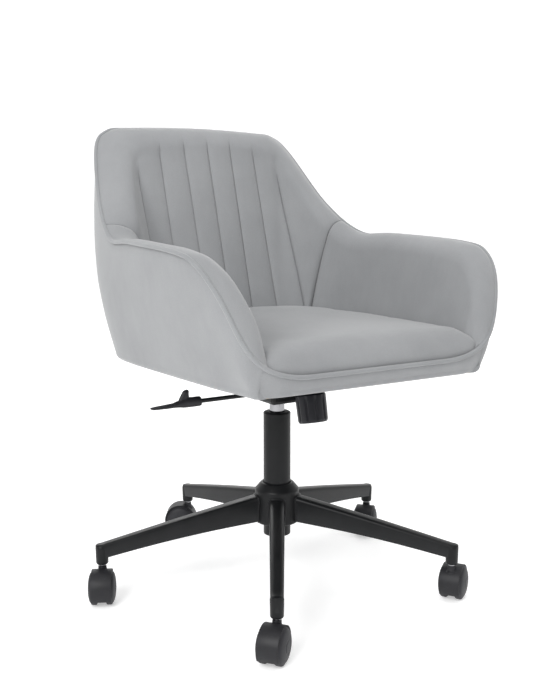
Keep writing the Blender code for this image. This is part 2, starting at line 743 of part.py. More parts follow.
def caster_hood(name):
    """Mudguard over both treads, with the web between the wheels and the stem collar."""
    outer, inner, half = 0.0322, 0.0308, WHEEL_TREAD
    rings = []
    for turn in span(-123.0, 123.0, 13):
        angle = math.radians(turn)
        ring = []
        for radius, width in ((outer, -half), (outer, half), (inner, half), (inner, -half)):
            ring.append((TRAIL + radius * math.sin(angle), width, WHEEL_RADIUS + radius * math.cos(angle)))
        rings.append(ring)
    band = loft(name, rings)
    web = rod("web", (TRAIL, -0.0070, WHEEL_RADIUS), (TRAIL, 0.0070, WHEEL_RADIUS), 0.0313, 18)
    collar = rod("collar", (0, 0, 0.040), (0, 0, 0.0650), 0.0078, 14, 0.0072)
    trim = box("trim", (-0.06, -0.05, -0.01), (0.08, 0.05, 0.0125), CUTTERS)
    bore = rod("stem_bore", (0, 0, 0.045), (0, 0, 0.08), 0.0050, 10, into=CUTTERS)
    near, far = (TRAIL, -0.03, WHEEL_RADIUS), (TRAIL, 0.03, WHEEL_RADIUS)
    pin_hole = rod("pin_hole", near, far, 0.0034, 10, into=CUTTERS)
    rooms = []
    for side in (-1, 1):
        low, high = sorted((side * 0.0072, side * 0.0173))
        start, end = (TRAIL, low, WHEEL_RADIUS), (TRAIL, high, WHEEL_RADIUS)
        rooms.append(rod("room", start, end, inner, 24, into=CUTTERS))
    hood = join(band, web, collar)
    return cut(hood, trim, bore, pin_hole, *rooms)


outer_cover()
bucket_shell()
pads()
seat_cushion()
front_apron()
welt_piping()
seat_boards()
seat_bolts()
mechanism_housing()
tilt_axle()
seat_plate()
tension_parts()
lever_parts()
gas_lift()
hub()
for arm_number in range(1, ARM_COUNT + 1):
    base_arm(arm_number)
    caster(arm_number)
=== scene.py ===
"""Looks of the upholstered tub desk chair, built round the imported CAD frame.

Metres, +Z up, seat front towards -Y. Shapes are made about the chair's swivel axis and then set on it.
"""

import json
import math

import bmesh
import bpy
from mathutils import Matrix, Vector, noise


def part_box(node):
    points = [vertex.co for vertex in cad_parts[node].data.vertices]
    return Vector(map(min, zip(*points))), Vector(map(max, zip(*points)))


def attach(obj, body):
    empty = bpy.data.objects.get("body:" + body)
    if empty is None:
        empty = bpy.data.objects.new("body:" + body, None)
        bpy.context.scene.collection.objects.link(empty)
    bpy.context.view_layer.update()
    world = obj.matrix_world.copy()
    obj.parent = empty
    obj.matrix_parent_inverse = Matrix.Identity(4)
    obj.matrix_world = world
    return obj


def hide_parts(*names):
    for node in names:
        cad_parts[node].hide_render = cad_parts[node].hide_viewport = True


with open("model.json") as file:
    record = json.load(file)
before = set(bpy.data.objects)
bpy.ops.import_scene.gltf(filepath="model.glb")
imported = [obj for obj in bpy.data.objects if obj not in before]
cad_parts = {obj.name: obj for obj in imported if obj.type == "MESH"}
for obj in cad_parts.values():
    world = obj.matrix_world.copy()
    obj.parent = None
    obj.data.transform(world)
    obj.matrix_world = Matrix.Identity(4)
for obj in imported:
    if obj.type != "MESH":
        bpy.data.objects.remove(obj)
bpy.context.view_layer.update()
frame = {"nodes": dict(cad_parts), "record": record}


def middle(node):
    low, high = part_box(node)
    return (low + high) / 2


COLUMN = middle("column_tube")
AXIS = Vector((COLUMN.x, COLUMN.y, 0.0))

# Heights that the shapes share with the frame
FOOT_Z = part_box("outer_cover")[0].z
UNDER_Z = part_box("dust_cover")[1].z + 0.0002
PAD_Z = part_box("seat_cushion")[0].z

# Upholstery
COVER_DEPTH = 0.07
SHELL_FROM = 0.085
SHELL_TO = 0.24
PAD_FROM = 0.29
ROLL_START = 0.032
ROLL_HEIGHT = 0.005
SEAM_STATION = 6.5
SEAM_SLANT = 0.75
CORNER_SEAM = 0.30
PAD_START = 0.45
WELT_RADIUS = 0.0036
WELT_OFFSET = 0.0008
TURNED_IN = 0.024
CHANNEL_PUFF = 0.0065
ARM_PUFF = 0.0038
EDGE_SEAM = 0.0040
CHANNEL_SEAM = 0.0012
BULGE_SIDE = 0.006
BULGE_BACK = 0.018
CUSHION_EDGE_Z = 0.486
CUSHION_FRONT_Z = 0.446
CUSHION_FRONT_Y = -0.3030
CUSHION_CORNER_X = 0.200
CUSHION_BLOW = 0.0015
CUSHION_FALL = 0.055
CUSHION_SOFT = 0.014
CUSHION_ROWS = 72
CUSHION_COLUMNS = 61
CUSHION_GAP = 0.0015
CUSHION_CROWN = 0.0045
CUSHION_SIDE_DROP = 0.0075
CUSHION_BACK_RISE = 0.0040
CUSHION_BACK_DROP = 0.0060
CUSHION_CORNER_RISE = 0.0085
APRON_FOOT_Y = -0.2955
APRON_BULGE = 0.0022
PAD_EDGE = 0.013
CLOTH_VOXEL = 0.0055
CLOTH_FRAMES = 20
CLOTH_STIFFNESS = 12
FOOT_ROUND = 0.012
STAPLE_HALF = 0.0046
STAPLE_WIRE = 0.0004

# Base and casters
ARM_COUNT = 5
FIRST_ARM_DEG = -122.7
SOCKET_RADIUS = 0.325
HUB_RADIUS = 0.041
COLUMN_RADIUS = 0.0250
TRAIL = 0.015
TRAIL_DEG = (-142.7, 32.6, -138.0, 147.0, -118.0)
WHEEL_RADIUS = 0.030
WHEEL_INNER = 0.0080
WHEEL_TREAD = 0.0178
WHEEL_DOME = 0.0250
WELD_RADIUS = 0.0017
ARM_ROOT = (0.0145, 0.119, 0.1665)
ARM_TIP = (0.0108, 0.0800, 0.1050)
HOOD_OUTER = 0.0322
HOOD_INNER = 0.0309
HOOD_REACH_DEG = 122.5
WEB_RADIUS = 0.0313
WEB_FLOOR = 0.0126

# Lift, tension knob and lever
GAS_RADIUS = 0.0140
GAS_LOW = 0.175
KNOB_PLACE = (0, -0.105, 0.379)
KNOB_LEAN_DEG = 12.0
KNOB_FLUTES = 10
SPRING_RADIUS = 0.0165
SPRING_TURNS = 5
SPRING_WIRE = 0.0015
SPRING_LOW, SPRING_HIGH = -0.0485, -0.0056
LEVER = Vector((0, -0.040, 0.368))
LEVER_RADIUS = 0.0038

CAMERA_EYE = Vector((-0.9405, -1.4650, 0.7049))
CAMERA_TARGET = Vector((0.0, 0.0, 0.4357))

# Half of the tub wall, from the front corner to the middle of the back. Each station holds the piping,
# the inner lip at the same station, the foot of the outer face and the foot of the inner face.
STATIONS = (
    ((0.195, -0.300, 0.445), (0.150, -0.300, 0.445), (0.221, -0.290), (0.150, -0.286)),
    ((0.240, -0.294, 0.493), (0.196, -0.292, 0.493), (0.223, -0.280), (0.183, -0.277)),
    ((0.270, -0.270, 0.566), (0.225, -0.268, 0.566), (0.225, -0.262), (0.188, -0.260)),
    ((0.286, -0.230, 0.612), (0.240, -0.228, 0.612), (0.229, -0.225), (0.190, -0.223)),
    ((0.290, -0.170, 0.628), (0.244, -0.170, 0.628), (0.235, -0.170), (0.194, -0.170)),
    ((0.285, 0.000, 0.636), (0.239, 0.000, 0.636), (0.243, 0.000), (0.202, 0.000)),
    ((0.272, 0.109, 0.638), (0.225, 0.097, 0.638), (0.246, 0.100), (0.192, 0.080)),
    ((0.250, 0.203, 0.695), (0.203, 0.170, 0.694), (0.238, 0.170), (0.160, 0.120)),
    ((0.217, 0.293, 0.800), (0.174, 0.251, 0.792), (0.202, 0.222), (0.122, 0.137)),
    ((0.186, 0.314, 0.833), (0.151, 0.264, 0.821), (0.166, 0.238), (0.095, 0.142)),
    ((0.138, 0.316, 0.839), (0.118, 0.265, 0.827), (0.118, 0.247), (0.065, 0.144)),
    ((0.000, 0.317, 0.843), (0.000, 0.264, 0.831), (0.000, 0.251), (0.000, 0.145)),
)
LAST = len(STATIONS) - 1

# Sewn channels of the back: a seam's distance from the middle at its foot and at the lip, and its top end.
SEAM_FOOT_X = (0.0, 0.048, 0.106, 0.160)
SEAM_LIP_X = (0.0, 0.052, 0.104, 0.156)
SEAM_TOP_Z = (0.828, 0.828, 0.818, 0.772)

# Where the welt leaves the straight front edge and turns up round the corner into the first station.
FRONT_TURN = ((0.130, -0.3035, 0.4455), (0.185, -0.3035, 0.4455), (0.222, -0.302, 0.461))
TURN_LENGTH = 0.092


# ---------------------------------------------------------------- finishes


def shader(name, color, roughness, metallic=0.0, **sockets):
    made = bpy.data.materials.new(name)
    made.use_nodes = True
    surface = made.node_tree.nodes["Principled BSDF"]
    surface.inputs["Base Color"].default_value = (*color, 1.0)
    surface.inputs["Roughness"].default_value = roughness
    surface.inputs["Metallic"].default_value = metallic
    for socket, value in sockets.items():
        surface.inputs[socket.replace("_", " ")].default_value = value
    return made


def texture(made, kind, **inputs):
    """A texture node in object space; a tuple scales the axes apart first."""
    tree = made.node_tree
    place = tree.nodes.new("ShaderNodeTexCoord")
    made_node = tree.nodes.new(kind)
    stretch = inputs.pop("stretch", None)
    source = place.outputs["Object"]
    if stretch:
        mapping = tree.nodes.new("ShaderNodeMapping")
        mapping.inputs["Scale"].default_value = stretch
        tree.links.new(source, mapping.inputs["Vector"])
        source = mapping.outputs["Vector"]
    tree.links.new(source, made_node.inputs["Vector"])
    for socket, value in inputs.items():
        made_node.inputs[socket.replace("_", " ")].default_value = value
    return made_node


def clouds(made, **inputs):
    """The output of a noise texture."""
    return texture(made, "ShaderNodeTexNoise", **inputs).outputs["Fac"]


def ramp(made, source, stops):
    """A colour ramp over a texture's output; each stop is a place and a colour or a grey value."""
    tree = made.node_tree
    scale = tree.nodes.new("ShaderNodeValToRGB")
    steps = scale.color_ramp.elements
    while len(steps) < len(stops):
        steps.new(0.5)
    for step, (place, value) in zip(steps, stops):
        step.position = place
        color = value if isinstance(value, tuple) else (value, value, value)
        step.color = (*color, 1.0)
    tree.links.new(source, scale.inputs["Fac"])
    return scale.outputs["Color"]


def layered(made, under, over, factor, blend="MIX"):
    """Mixes two colour sources by a factor source or number."""
    tree = made.node_tree
    step = tree.nodes.new("ShaderNodeMix")
    step.data_type = "RGBA"
    step.blend_type = blend
    for source, socket in ((under, step.inputs["A"]), (over, step.inputs["B"])):
        if isinstance(source, tuple):
            socket_of(step, socket.name, "RGBA").default_value = (*source, 1.0)
        else:
            tree.links.new(source, socket_of(step, socket.name, "RGBA"))
    if isinstance(factor, float):
        step.inputs["Factor"].default_value = factor
    else:
        tree.links.new(factor, step.inputs["Factor"])
    return socket_of(step, "Result", "RGBA", step.outputs)


def socket_of(step, name, kind, sockets=None):
    """A Mix node's socket of one kind, as its sockets of different kinds share names."""
    for socket in sockets or step.inputs:
        if socket.name == name and socket.type == kind:
            return socket
    raise KeyError(name)


def feed(made, source, name):
    surface = made.node_tree.nodes["Principled BSDF"]
    made.node_tree.links.new(source, surface.inputs[name])


def bumps(made, *layers):
    """Chains height sources into the surface normal, each with its strength and depth in metres."""
    tree = made.node_tree
    before = None
    for source, strength, depth in layers:
        step = tree.nodes.new("ShaderNodeBump")
        step.inputs["Strength"].default_value = strength
        step.inputs["Distance"].default_value = depth
        tree.links.new(source, step.inputs["Height"])
        if before:
            tree.links.new(before, step.inputs["Normal"])
        before = step.outputs["Normal"]
    feed(made, before, "Normal")


def cloth_finish(name, dark, light, thread_scale=950.0):
    """Short-napped woven upholstery: soft tone drift, brushed streaks and a fine crossed weave."""
    sheen = {"Sheen_Weight": 0.35, "Sheen_Roughness": 0.45, "Specular_IOR_Level": 0.25}
    made = shader(name, light, 0.85, **sheen)
    drift = clouds(made, Scale=7.0, Detail=3.0, Roughness=0.55)
    nap = clouds(made, Scale=70.0, Detail=4.0, Roughness=0.6, stretch=(1.0, 1.0, 0.35))
    fibre = clouds(made, Scale=thread_scale, Detail=2.0, Roughness=0.7)
    tone = ramp(made, drift, ((0.30, dark), (0.70, light)))
    streak = ramp(made, nap, ((0.30, 0.972), (0.70, 1.0)))
    speck = ramp(made, fibre, ((0.25, 0.86), (0.75, 1.0)))
    color = layered(made, tone, streak, 1.0, "MULTIPLY")
    feed(made, layered(made, color, speck, 1.0, "MULTIPLY"), "Base Color")
    feed(made, ramp(made, nap, ((0.2, 0.92), (0.8, 0.78))), "Roughness")
    warp = texture(made, "ShaderNodeTexVoronoi", Scale=thread_scale * 0.8)
    bumps(made, (fibre, 0.20, 0.0004), (warp.outputs["Distance"], 0.15, 0.0003))
    return made


def lining_finish():
    """Black spun-bonded lining with its grid of embossed points."""
    made = shader("lining_spunbond", (0.02, 0.02, 0.021), 0.9, Specular_IOR_Level=0.2)
    fuzz = clouds(made, Scale=420.0, Detail=4.0)
    points = texture(made, "ShaderNodeTexVoronoi", Scale=330.0, Randomness=0.15)
    dark, light = (0.014, 0.014, 0.015), (0.034, 0.034, 0.036)
    feed(made, ramp(made, fuzz, ((0.3, dark), (0.75, light))), "Base Color")
    bumps(made, (points.outputs["Distance"], 0.5, 0.0005), (fuzz, 0.2, 0.0003))
    return made


def painted_steel():
    """Satin powder coat: faint orange peel, uneven gloss and edges rubbed a little paler."""
    made = shader("powder_coat_black", (0.014, 0.0142, 0.015), 0.33, Specular_IOR_Level=0.20)
    cloud = clouds(made, Scale=24.0, Detail=4.0)
    peel = clouds(made, Scale=620.0, Detail=2.0)
    edge = made.node_tree.nodes.new("ShaderNodeNewGeometry")
    body = ramp(made, cloud, ((0.3, (0.0065, 0.007, 0.0075)), (0.7, (0.011, 0.0115, 0.0125))))
    worn = ramp(made, edge.outputs["Pointiness"], ((0.52, 0.0), (0.62, 0.55)))
    feed(made, layered(made, body, (0.030, 0.031, 0.033), worn), "Base Color")
    feed(made, ramp(made, cloud, ((0.25, 0.30), (0.75, 0.44))), "Roughness")
    bumps(made, (peel, 0.12, 0.0004))
    return made


def moulded_plastic(name, dark, light, rough=(0.42, 0.56), scuffs=0.25):
    """Spark-textured moulding with hazy patches and pale scuffs."""
    made = shader(name, light, rough[1], Specular_IOR_Level=0.32)
    cloud = clouds(made, Scale=38.0, Detail=5.0, Roughness=0.6)
    grain = clouds(made, Scale=1500.0, Detail=2.0)
    rubbed = clouds(made, Scale=130.0, Detail=6.0, Roughness=0.75, stretch=(1.0, 1.0, 2.5))
    body = ramp(made, cloud, ((0.3, dark), (0.7, light)))
    marks = ramp(made, rubbed, ((0.58, 0.0), (0.72, scuffs)))
    pale = tuple(min(1.0, value * 2.2 + 0.012) for value in light)
    feed(made, layered(made, body, pale, marks), "Base Color")
    feed(made, ramp(made, cloud, ((0.25, rough[0]), (0.75, rough[1]))), "Roughness")
    bumps(made, (grain, 0.16, 0.0003))
    return made


def bare_metal(name, color, rough, streak=(1.0, 1.0, 6.0), scale=160.0):
    """Plated metal with fine drawn or polished streaks in its gloss."""
    made = shader(name, color, rough[0], 1.0)
    lines = clouds(made, Scale=scale, Detail=4.0, stretch=streak)
    haze = clouds(made, Scale=18.0, Detail=3.0)
    shade = tuple(value * 0.88 for value in color)
    feed(made, ramp(made, haze, ((0.3, shade), (0.7, color))), "Base Color")
    feed(made, ramp(made, lines, ((0.3, rough[0]), (0.7, rough[1]))), "Roughness")
    bumps(made, (lines, 0.04, 0.0002))
    return made


def plywood_finish():
    """Birch ply: veneer layers through the thickness and long grain on the faces."""
    made = shader("birch_plywood", (0.55, 0.40, 0.24), 0.6)
    grain = clouds(made, Scale=60.0, Detail=6.0, stretch=(1.0, 0.08, 1.0))
    flat = (0.02, 0.02, 1.0)
    layers = texture(made, "ShaderNodeTexWave", Scale=110.0, Distortion=0.6, Detail=2.0, stretch=flat)
    layers.bands_direction = "Z"
    body = ramp(made, grain, ((0.3, (0.42, 0.29, 0.16)), (0.7, (0.62, 0.47, 0.30))))
    veneer = ramp(made, layers.outputs["Fac"], ((0.35, 0.72), (0.6, 1.0)))
    feed(made, layered(made, body, veneer, 1.0, "MULTIPLY"), "Base Color")
    feed(made, ramp(made, grain, ((0.2, 0.52), (0.8, 0.7))), "Roughness")
    bumps(made, (grain, 0.12, 0.0004))
    return made


FABRIC = cloth_finish("fabric_light_grey", (0.256, 0.262, 0.270), (0.294, 0.300, 0.308))
PIPING = cloth_finish("fabric_piping", (0.252, 0.259, 0.267), (0.290, 0.297, 0.305), 1200.0)
LINING = lining_finish()
PLYWOOD = plywood_finish()
BLACK_STEEL = painted_steel()
CHROME = bare_metal("polished_chrome", (0.30, 0.30, 0.312), (0.07, 0.13))
ZINC = bare_metal("zinc_plate", (0.50, 0.51, 0.53), (0.28, 0.42))
SPRING_STEEL = bare_metal("spring_steel", (0.26, 0.26, 0.28), (0.30, 0.42))
NYLON = moulded_plastic("nylon_black", (0.011, 0.011, 0.013), (0.017, 0.017, 0.020))
KNOB = moulded_plastic("nylon_knob", (0.008, 0.0085, 0.012), (0.012, 0.0125, 0.017), (0.34, 0.46))
WHEEL = moulded_plastic("wheel_disc", (0.015, 0.015, 0.018), (0.022, 0.022, 0.026), (0.46, 0.60), 0.3)

FINISH_OF_SLOT = {
    "grey_fabric": FABRIC,
    "piping_fabric": PIPING,
    "black_lining": LINING,
    "plywood": PLYWOOD,
    "black_steel": BLACK_STEEL,
    "chrome_steel": CHROME,
    "zinc_steel": ZINC,
    "spring_steel": SPRING_STEEL,
    "black_nylon": NYLON,
    "wheel_plastic": WHEEL,
}


# ---------------------------------------------------------------- mesh helpers


def from_bmesh(name, mesh):
    bmesh.ops.recalc_face_normals(mesh, faces=mesh.faces)
    data = bpy.data.meshes.new(name)
    mesh.to_mesh(data)
    mesh.free()
    made = bpy.data.objects.new(name, data)
    bpy.context.scene.collection.objects.link(made)
    return made


def skin(name, rings, closed=False, caps=True):
    """Quads between rings of equal length; the row of rings is closed, or capped at its ends."""
    mesh = bmesh.new()
    rows = [[mesh.verts.new(point) for point in ring] for ring in rings]
    count = len(rows[0])
    pairs = list(zip(rows, rows[1:]))
    if closed:
        pairs.append((rows[-1], rows[0]))
    for near, far in pairs:
        for k in range(count):
            after = (k + 1) % count
            mesh.faces.new((near[k], near[after], far[after], far[k]))
    if caps and not closed:
        mesh.faces.new(rows[0])
        mesh.faces.new(rows[-1])
    bmesh.ops.remove_doubles(mesh, verts=mesh.verts, dist=0.000005)
    return from_bmesh(name, mesh)


def turned(name, profile, steps=64, flute=None):
    """Turns (radius, height) points about Z; flute gives a factor on the radius at an angle and height."""
    rings = []
    for radius, height in profile:
        ring = []
        for k in range(steps):
            angle = 2 * math.pi * k / steps
            reach = radius * (flute(angle, height) if flute else 1.0)
            ring.append(Vector((reach * math.cos(angle), reach * math.sin(angle), height)))
        rings.append(ring)
    hollow = profile[0][0] > 0 and profile[-1][0] > 0
    return skin(name, rings, closed=hollow, caps=False)


def eased(points, radius, steps=4, closed=False):
    """Rounds the corners of an outline with short arcs, each no longer than half a side."""
    points = [Vector(point) for point in points]
    count = len(points)
    out = []
    for k, corner in enumerate(points):
        if not closed and k in (0, count - 1):
            out.append(corner)
            continue
        before, after = points[k - 1], points[(k + 1) % count]
        reach_in = min(radius, (before - corner).length / 2)
        reach_out = min(radius, (after - corner).length / 2)
        start = corner + (before - corner).normalized() * reach_in
        end = corner + (after - corner).normalized() * reach_out
        for step in range(steps + 1):
            t = step / steps
            out.append(start * (1 - t) ** 2 + corner * 2 * t * (1 - t) + end * t * t)
    return out


def rounded(profile, radius, steps=4):
    """A turning profile's (radius, height) points with its corners rounded off."""
    return [(point.x, point.y) for point in eased([(*place, 0) for place in profile], radius, steps)]


def wire(name, points, radius, closed=False, sides=12):
    """A round cord along points, with steady frames and no twist."""
    count = len(points)
    rings = []
    up = Vector((0, 0, 1))
    for k, point in enumerate(points):
        ahead = points[(k + 1) % count] if closed or k < count - 1 else point
        behind = points[k - 1] if closed or k > 0 else point
        way = (ahead - behind).normalized()
        if abs(way.dot(up)) > 0.98:
            up = Vector((0, 1, 0))
        side = way.cross(up).normalized()
        up = side.cross(way).normalized()
        ring = []
        for step in range(sides):
            angle = 2 * math.pi * step / sides
            ring.append(point + (side * math.cos(angle) + up * math.sin(angle)) * radius)
        rings.append(ring)
    return skin(name, rings, closed=closed)


def joined(name, *parts):
    """One object that holds several closed shells."""
    mesh = bmesh.new()
    for part in parts:
        part.data.transform(part.matrix_basis)
        mesh.from_mesh(part.data)
        bpy.data.objects.remove(part, do_unlink=True)
    return from_bmesh(name, mesh)


def finished(obj, body, slot, replaces=(), finish=None, at=None, smooth=40.0):
    """Sets a piece on the chair's axis, gives it the finish of its slot, hangs it on its body and hides the
    CAD nodes it stands for.
    """
    obj.data.materials.clear()
    obj.data.materials.append(finish or FINISH_OF_SLOT[slot])
    obj.data.shade_smooth()
    obj.data.set_sharp_from_angle(angle=math.radians(smooth))
    if at is None:
        obj.location = AXIS
    else:
        obj.matrix_world = Matrix.Translation(AXIS) @ at
    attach(obj, body)
    if replaces:
        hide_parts(*replaces)
    return obj


def span(start, end, count):
    return [start + (end - start) * k / (count - 1) for k in range(count)]


def smoothstep(value):
    value = max(0.0, min(1.0, value))
    return value * value * (3 - 2 * value)


# ---------------------------------------------------------------- tub wall


def mix(values, t):
    """Catmull-Rom through four vectors."""
    before, start, end, after = values
    return 0.5 * (
        2 * start
        + (end - before) * t
        + (2 * before - 5 * start + 4 * end - after) * t * t
        + (3 * start - before - 3 * end + after) * t * t * t
    )


def station_value(index, item):
    """A station's vector; past the back it is the mirror image, past the front a straight run-out."""
    if index < 0:
        return 2 * station_value(0, item) - station_value(-index, item)
    if index > LAST:
        mirrored = station_value(2 * LAST - index, item)
        return Vector((-mirrored.x, mirrored.y, mirrored.z))
    value = STATIONS[index][item]
    return Vector(value) if len(value) == 3 else Vector((*value, FOOT_Z))


def along(item, s):
    """A guide curve at s from 0, the right front corner, round the back to 2 * LAST, the left one."""
    side = 1.0
    if s > LAST:
        s = 2 * LAST - s
        side = -1.0
    base = max(0, min(int(math.floor(s)), LAST - 1))
    point = mix([station_value(base + k, item) for k in (-1, 0, 1, 2)], s - base)
    point.x *= side
    return point


def from_end(s):
    return min(s, 2 * LAST - s)


def bezier(points, t):
    start, lead, follow, end = points
    left = 1.0 - t
    return start * left ** 3 + lead * 3 * left * left * t + follow * 3 * left * t * t + end * t ** 3


def bezier_way(points, t):
    start, lead, follow, end = points
    left = 1.0 - t
    return (lead - start) * left * left + (follow - lead) * 2 * left * t + (end - follow) * t * t


def edge_point(s):
    """The welt's guide line: the wall's piping, rounded into the front edge between -1 and 1 at a corner."""
    near = from_end(s)
    if near >= 1.0:
        return along(0, s)
    line = [Vector(point) for point in FRONT_TURN] + [station_value(1, 0)]
    point = bezier(line, (near + 1.0) / 2)
    if s > LAST:
        point.x = -point.x
    return point


def lip_point(s):
    """The inner lip, drawn in to the welt where the wall thins out at the front corner."""
    thin = 0.72 * (1.0 - smoothstep((from_end(s) - PAD_START) / 1.35))
    return along(1, s).lerp(edge_point(s), thin)


def wall_point(s, depth, rise):
    """A point in the wall: depth 0 outer face to 1 inner face, rise 0 foot to 1 piping."""
    piping, lip = edge_point(s), lip_point(s)
    back = smoothstep((from_end(s) - 5.5) / 2.5)
    outward = Vector((piping.x - lip.x, piping.y - lip.y, 0)).normalized()
    bulge = outward * (BULGE_SIDE + BULGE_BACK * back) * math.sin(math.pi * rise) * smoothstep(from_end(s))
    outer = along(2, s).lerp(piping, rise) + bulge
    inner = along(3, s).lerp(lip, rise)
    return outer.lerp(inner, depth)


def rise_at(s, depth, height):
    """The rise at which a wall layer passes a height."""
    low = wall_point(s, depth, 0.0).z
    high = wall_point(s, depth, 1.0).z
    return (height - low) / (high - low)


def outward_at(s):
    """Level direction out of the wall at its piping; it turns to the front at the front corners."""
    if from_end(s) <= 0.0:
        return Vector((0, -1, 0))
    piping, lip = edge_point(s), along(1, s)
    outward = Vector((piping.x - lip.x, piping.y - lip.y, 0)).normalized()
    front = 1.0 - smoothstep(from_end(s) / 1.5)
    return (outward + Vector((0, -1.6 * front, 0))).normalized()


def foot_outward(s):
    """Level direction out of the outer face at its foot."""
    ahead, behind = along(2, min(s + 0.05, 2 * LAST)), along(2, max(s - 0.05, 0.0))
    way = (ahead - behind).normalized()
    return Vector((way.y, -way.x, 0)).normalized()


def roll_frame(s):
    """Piping, lip and the direction that the padded roll rises in."""
    piping, lip = edge_point(s), lip_point(s)
    ahead, behind = edge_point(min(s + 0.02, 2 * LAST)), edge_point(max(s - 0.02, 0.0))
    across = (lip - piping).normalized()
    up = (ahead - behind).cross(across).normalized()
    if up.z < 0 or (up.z < 0.3 and up.y > 0):
        up = -up
    return piping, lip, up


def roll_line(s, start):
    """Control points of the padded roll, from a start on the inner face over the lip to the piping."""
    piping, lip, up = roll_frame(s)
    height = ROLL_HEIGHT * (0.3 + 0.7 * smoothstep(from_end(s) / 1.5))
    return (start, lip + up * 0.9 * height, lip.lerp(piping, 0.75) + up * 1.8 * height, piping)


def welt_point(s):
    return edge_point(s) + outward_at(s) * WELT_OFFSET


def undulate(point, size):
    """Small wandering offset of stretched cloth over foam, the same on every run."""
    slow = noise.noise(point * 14.0)
    quick = noise.noise(point * 42.0 + Vector((3.1, 7.7, 1.3)))
    return size * (0.75 * slow + 0.25 * quick)


# ---------------------------------------------------------------- upholstery


def outer_cover():
    """The outside panel: rounded under the foot, filled out to the welt, with two sewn joins at the back."""
    rings = []
    rows = span(0.0, 1.0, 34)
    for s in span(CORNER_SEAM, 2 * LAST - CORNER_SEAM, 265):
        out = foot_outward(s)
        start_z = UNDER_Z + FOOT_ROUND
        first = rise_at(s, 0.0, start_z)
        corner = wall_point(s, 0.0, first)
        hub = corner - out * FOOT_ROUND
        ring = [Vector((hub.x - out.x * TURNED_IN, hub.y - out.y * TURNED_IN, UNDER_Z))]
        for k in range(6):
            angle = math.pi / 2 * (1 - k / 6)
            drop = Vector((0, 0, FOOT_ROUND * math.sin(angle)))
            ring.append(hub + out * FOOT_ROUND * math.cos(angle) - drop)
        seam = sewn_join(s)
        for row in rows:
            rise = first + (1.0 - first) * row
            point = wall_point(s, 0.0, rise)
            tuck = smoothstep((row - 0.945) / 0.055) * 0.0024
            soft = undulate(point, 0.0010) * math.sin(math.pi * row)
            ring.append(point + outward_at(s) * (soft - tuck - seam))
        ring.append(ring[-1] - outward_at(s) * 0.004 + Vector((0, 0, -0.001)))
        for rise in (0.98, 0.6, 0.25, first):
            ring.append(wall_point(s, COVER_DEPTH, rise))
        ring.append(Vector((hub.x - out.x * TURNED_IN, hub.y - out.y * TURNED_IN, UNDER_Z + 0.0006)))
        rings.append(ring)
    finished(skin("outer_cover_fabric", rings), "seat", "grey_fabric", ("outer_cover",))


def sewn_join(s):
    """Depth of the narrow valley where two outer panels are sewn together, beside the back."""
    away = abs(from_end(s) - 8.75)
    return 0.0016 * math.exp(-((away / 0.05) ** 2))


def inward_at(s, rise):
    """Level direction from the middle of the wall to its inner face."""
    inner, mid = wall_point(s, 1.0, rise), wall_point(s, 0.5, rise)
    way = inner - mid
    way.z = 0
    return way.normalized()


def pad_section(route, swell, rows=42, turns=24):
    """A closed section of a pad: up the inner face, over the roll to the welt and down behind.

    route gives the section's station at a rise; swell its fullness at a share of the face or of the roll.
    """
    s = route(1.0)
    foot = rise_at(route(0.1), 1.0, PAD_Z)
    face = (wall_point(s, 1.0, 1.0) - wall_point(s, 1.0, 0.0)).length
    last = max(1.0 - ROLL_START / face, foot + 0.35 * (1.0 - foot))
    ring = []
    for rise in span(foot, last, rows):
        at = route(rise)
        point = wall_point(at, 1.0, rise)
        ring.append(point + inward_at(at, rise) * swell((rise - foot) / (last - foot), 0.0, point))
    line = roll_line(s, wall_point(route(last), 1.0, last))
    level, up = inward_at(s, 1.0), roll_frame(s)[2]
    for k in range(1, turns + 1):
        over = k / turns
        point, way = bezier(line, over), bezier_way(line, over)
        facing = (level * way.dot(up) - up * way.dot(level)).normalized()
        ring.append(point + facing * swell(1.0, over, point))
    ring.append(wall_point(s, 0.12, 0.985))
    for rise in (0.95, 0.6, 0.3, foot):
        ring.append(wall_point(route(rise), PAD_FROM, max(rise, foot)))
    return ring


def edge_round(distance, radius):
    """0 at a pad's sewn edge, rising round to 1 a radius away."""
    t = max(0.0, min(1.0, distance / radius))
    return math.sqrt(1 - (1 - t) ** 2)


def slanted(share, rise):
    """How far the seam between arm and back leans into the back towards the seat, for an arm's columns."""
    return SEAM_SLANT * (1.0 - rise) * smoothstep((share - 0.6) / 0.4)


def arm_pad(name, mirrored, node):
    rings = []
    length = SEAM_STATION - 0.006 - PAD_START
    for k in range(141):
        share = k / 140
        place = PAD_START + length * share
        seam = edge_round((1.0 - share) * length * 0.10 + 0.0004, PAD_EDGE)
        front = smoothstep((share * length + 0.15) / 1.0)

        def route(rise):
            at = place + slanted(share, rise)
            return 2 * LAST - at if mirrored else at

        def swell(up, over, point):
            body = ARM_PUFF * math.sin(math.pi * (0.12 + up * 0.62)) ** 0.7
            fade = 1.0 - smoothstep(over * 1.1)
            full = body * fade * seam - EDGE_SEAM * (1.0 - seam) * (1.0 - over ** 4)
            return front * (full + undulate(point, 0.0014) * seam * (1.0 - over ** 4))

        rings.append(pad_section(route, swell))
    made = finished(skin(name, rings), "seat", "grey_fabric", (node,))


def seam_places(rise):
    """The stations of the four right-hand seams at one rise of the inner face, and of the pad's edge."""
    places = []
    for foot_x, lip_x in zip(SEAM_FOOT_X, SEAM_LIP_X):
        target = foot_x + (lip_x - foot_x) * rise
        low, high = SEAM_STATION + 0.3, float(LAST)
        for _ in range(22):
            half = (low + high) / 2
            if wall_point(half, 1.0, rise).x > target:
                low = half
            else:
                high = half
        places.append((low + high) / 2)
    places.append(min(SEAM_STATION + 0.008 + SEAM_SLANT * (1.0 - rise), places[3] - 0.12))
    return places


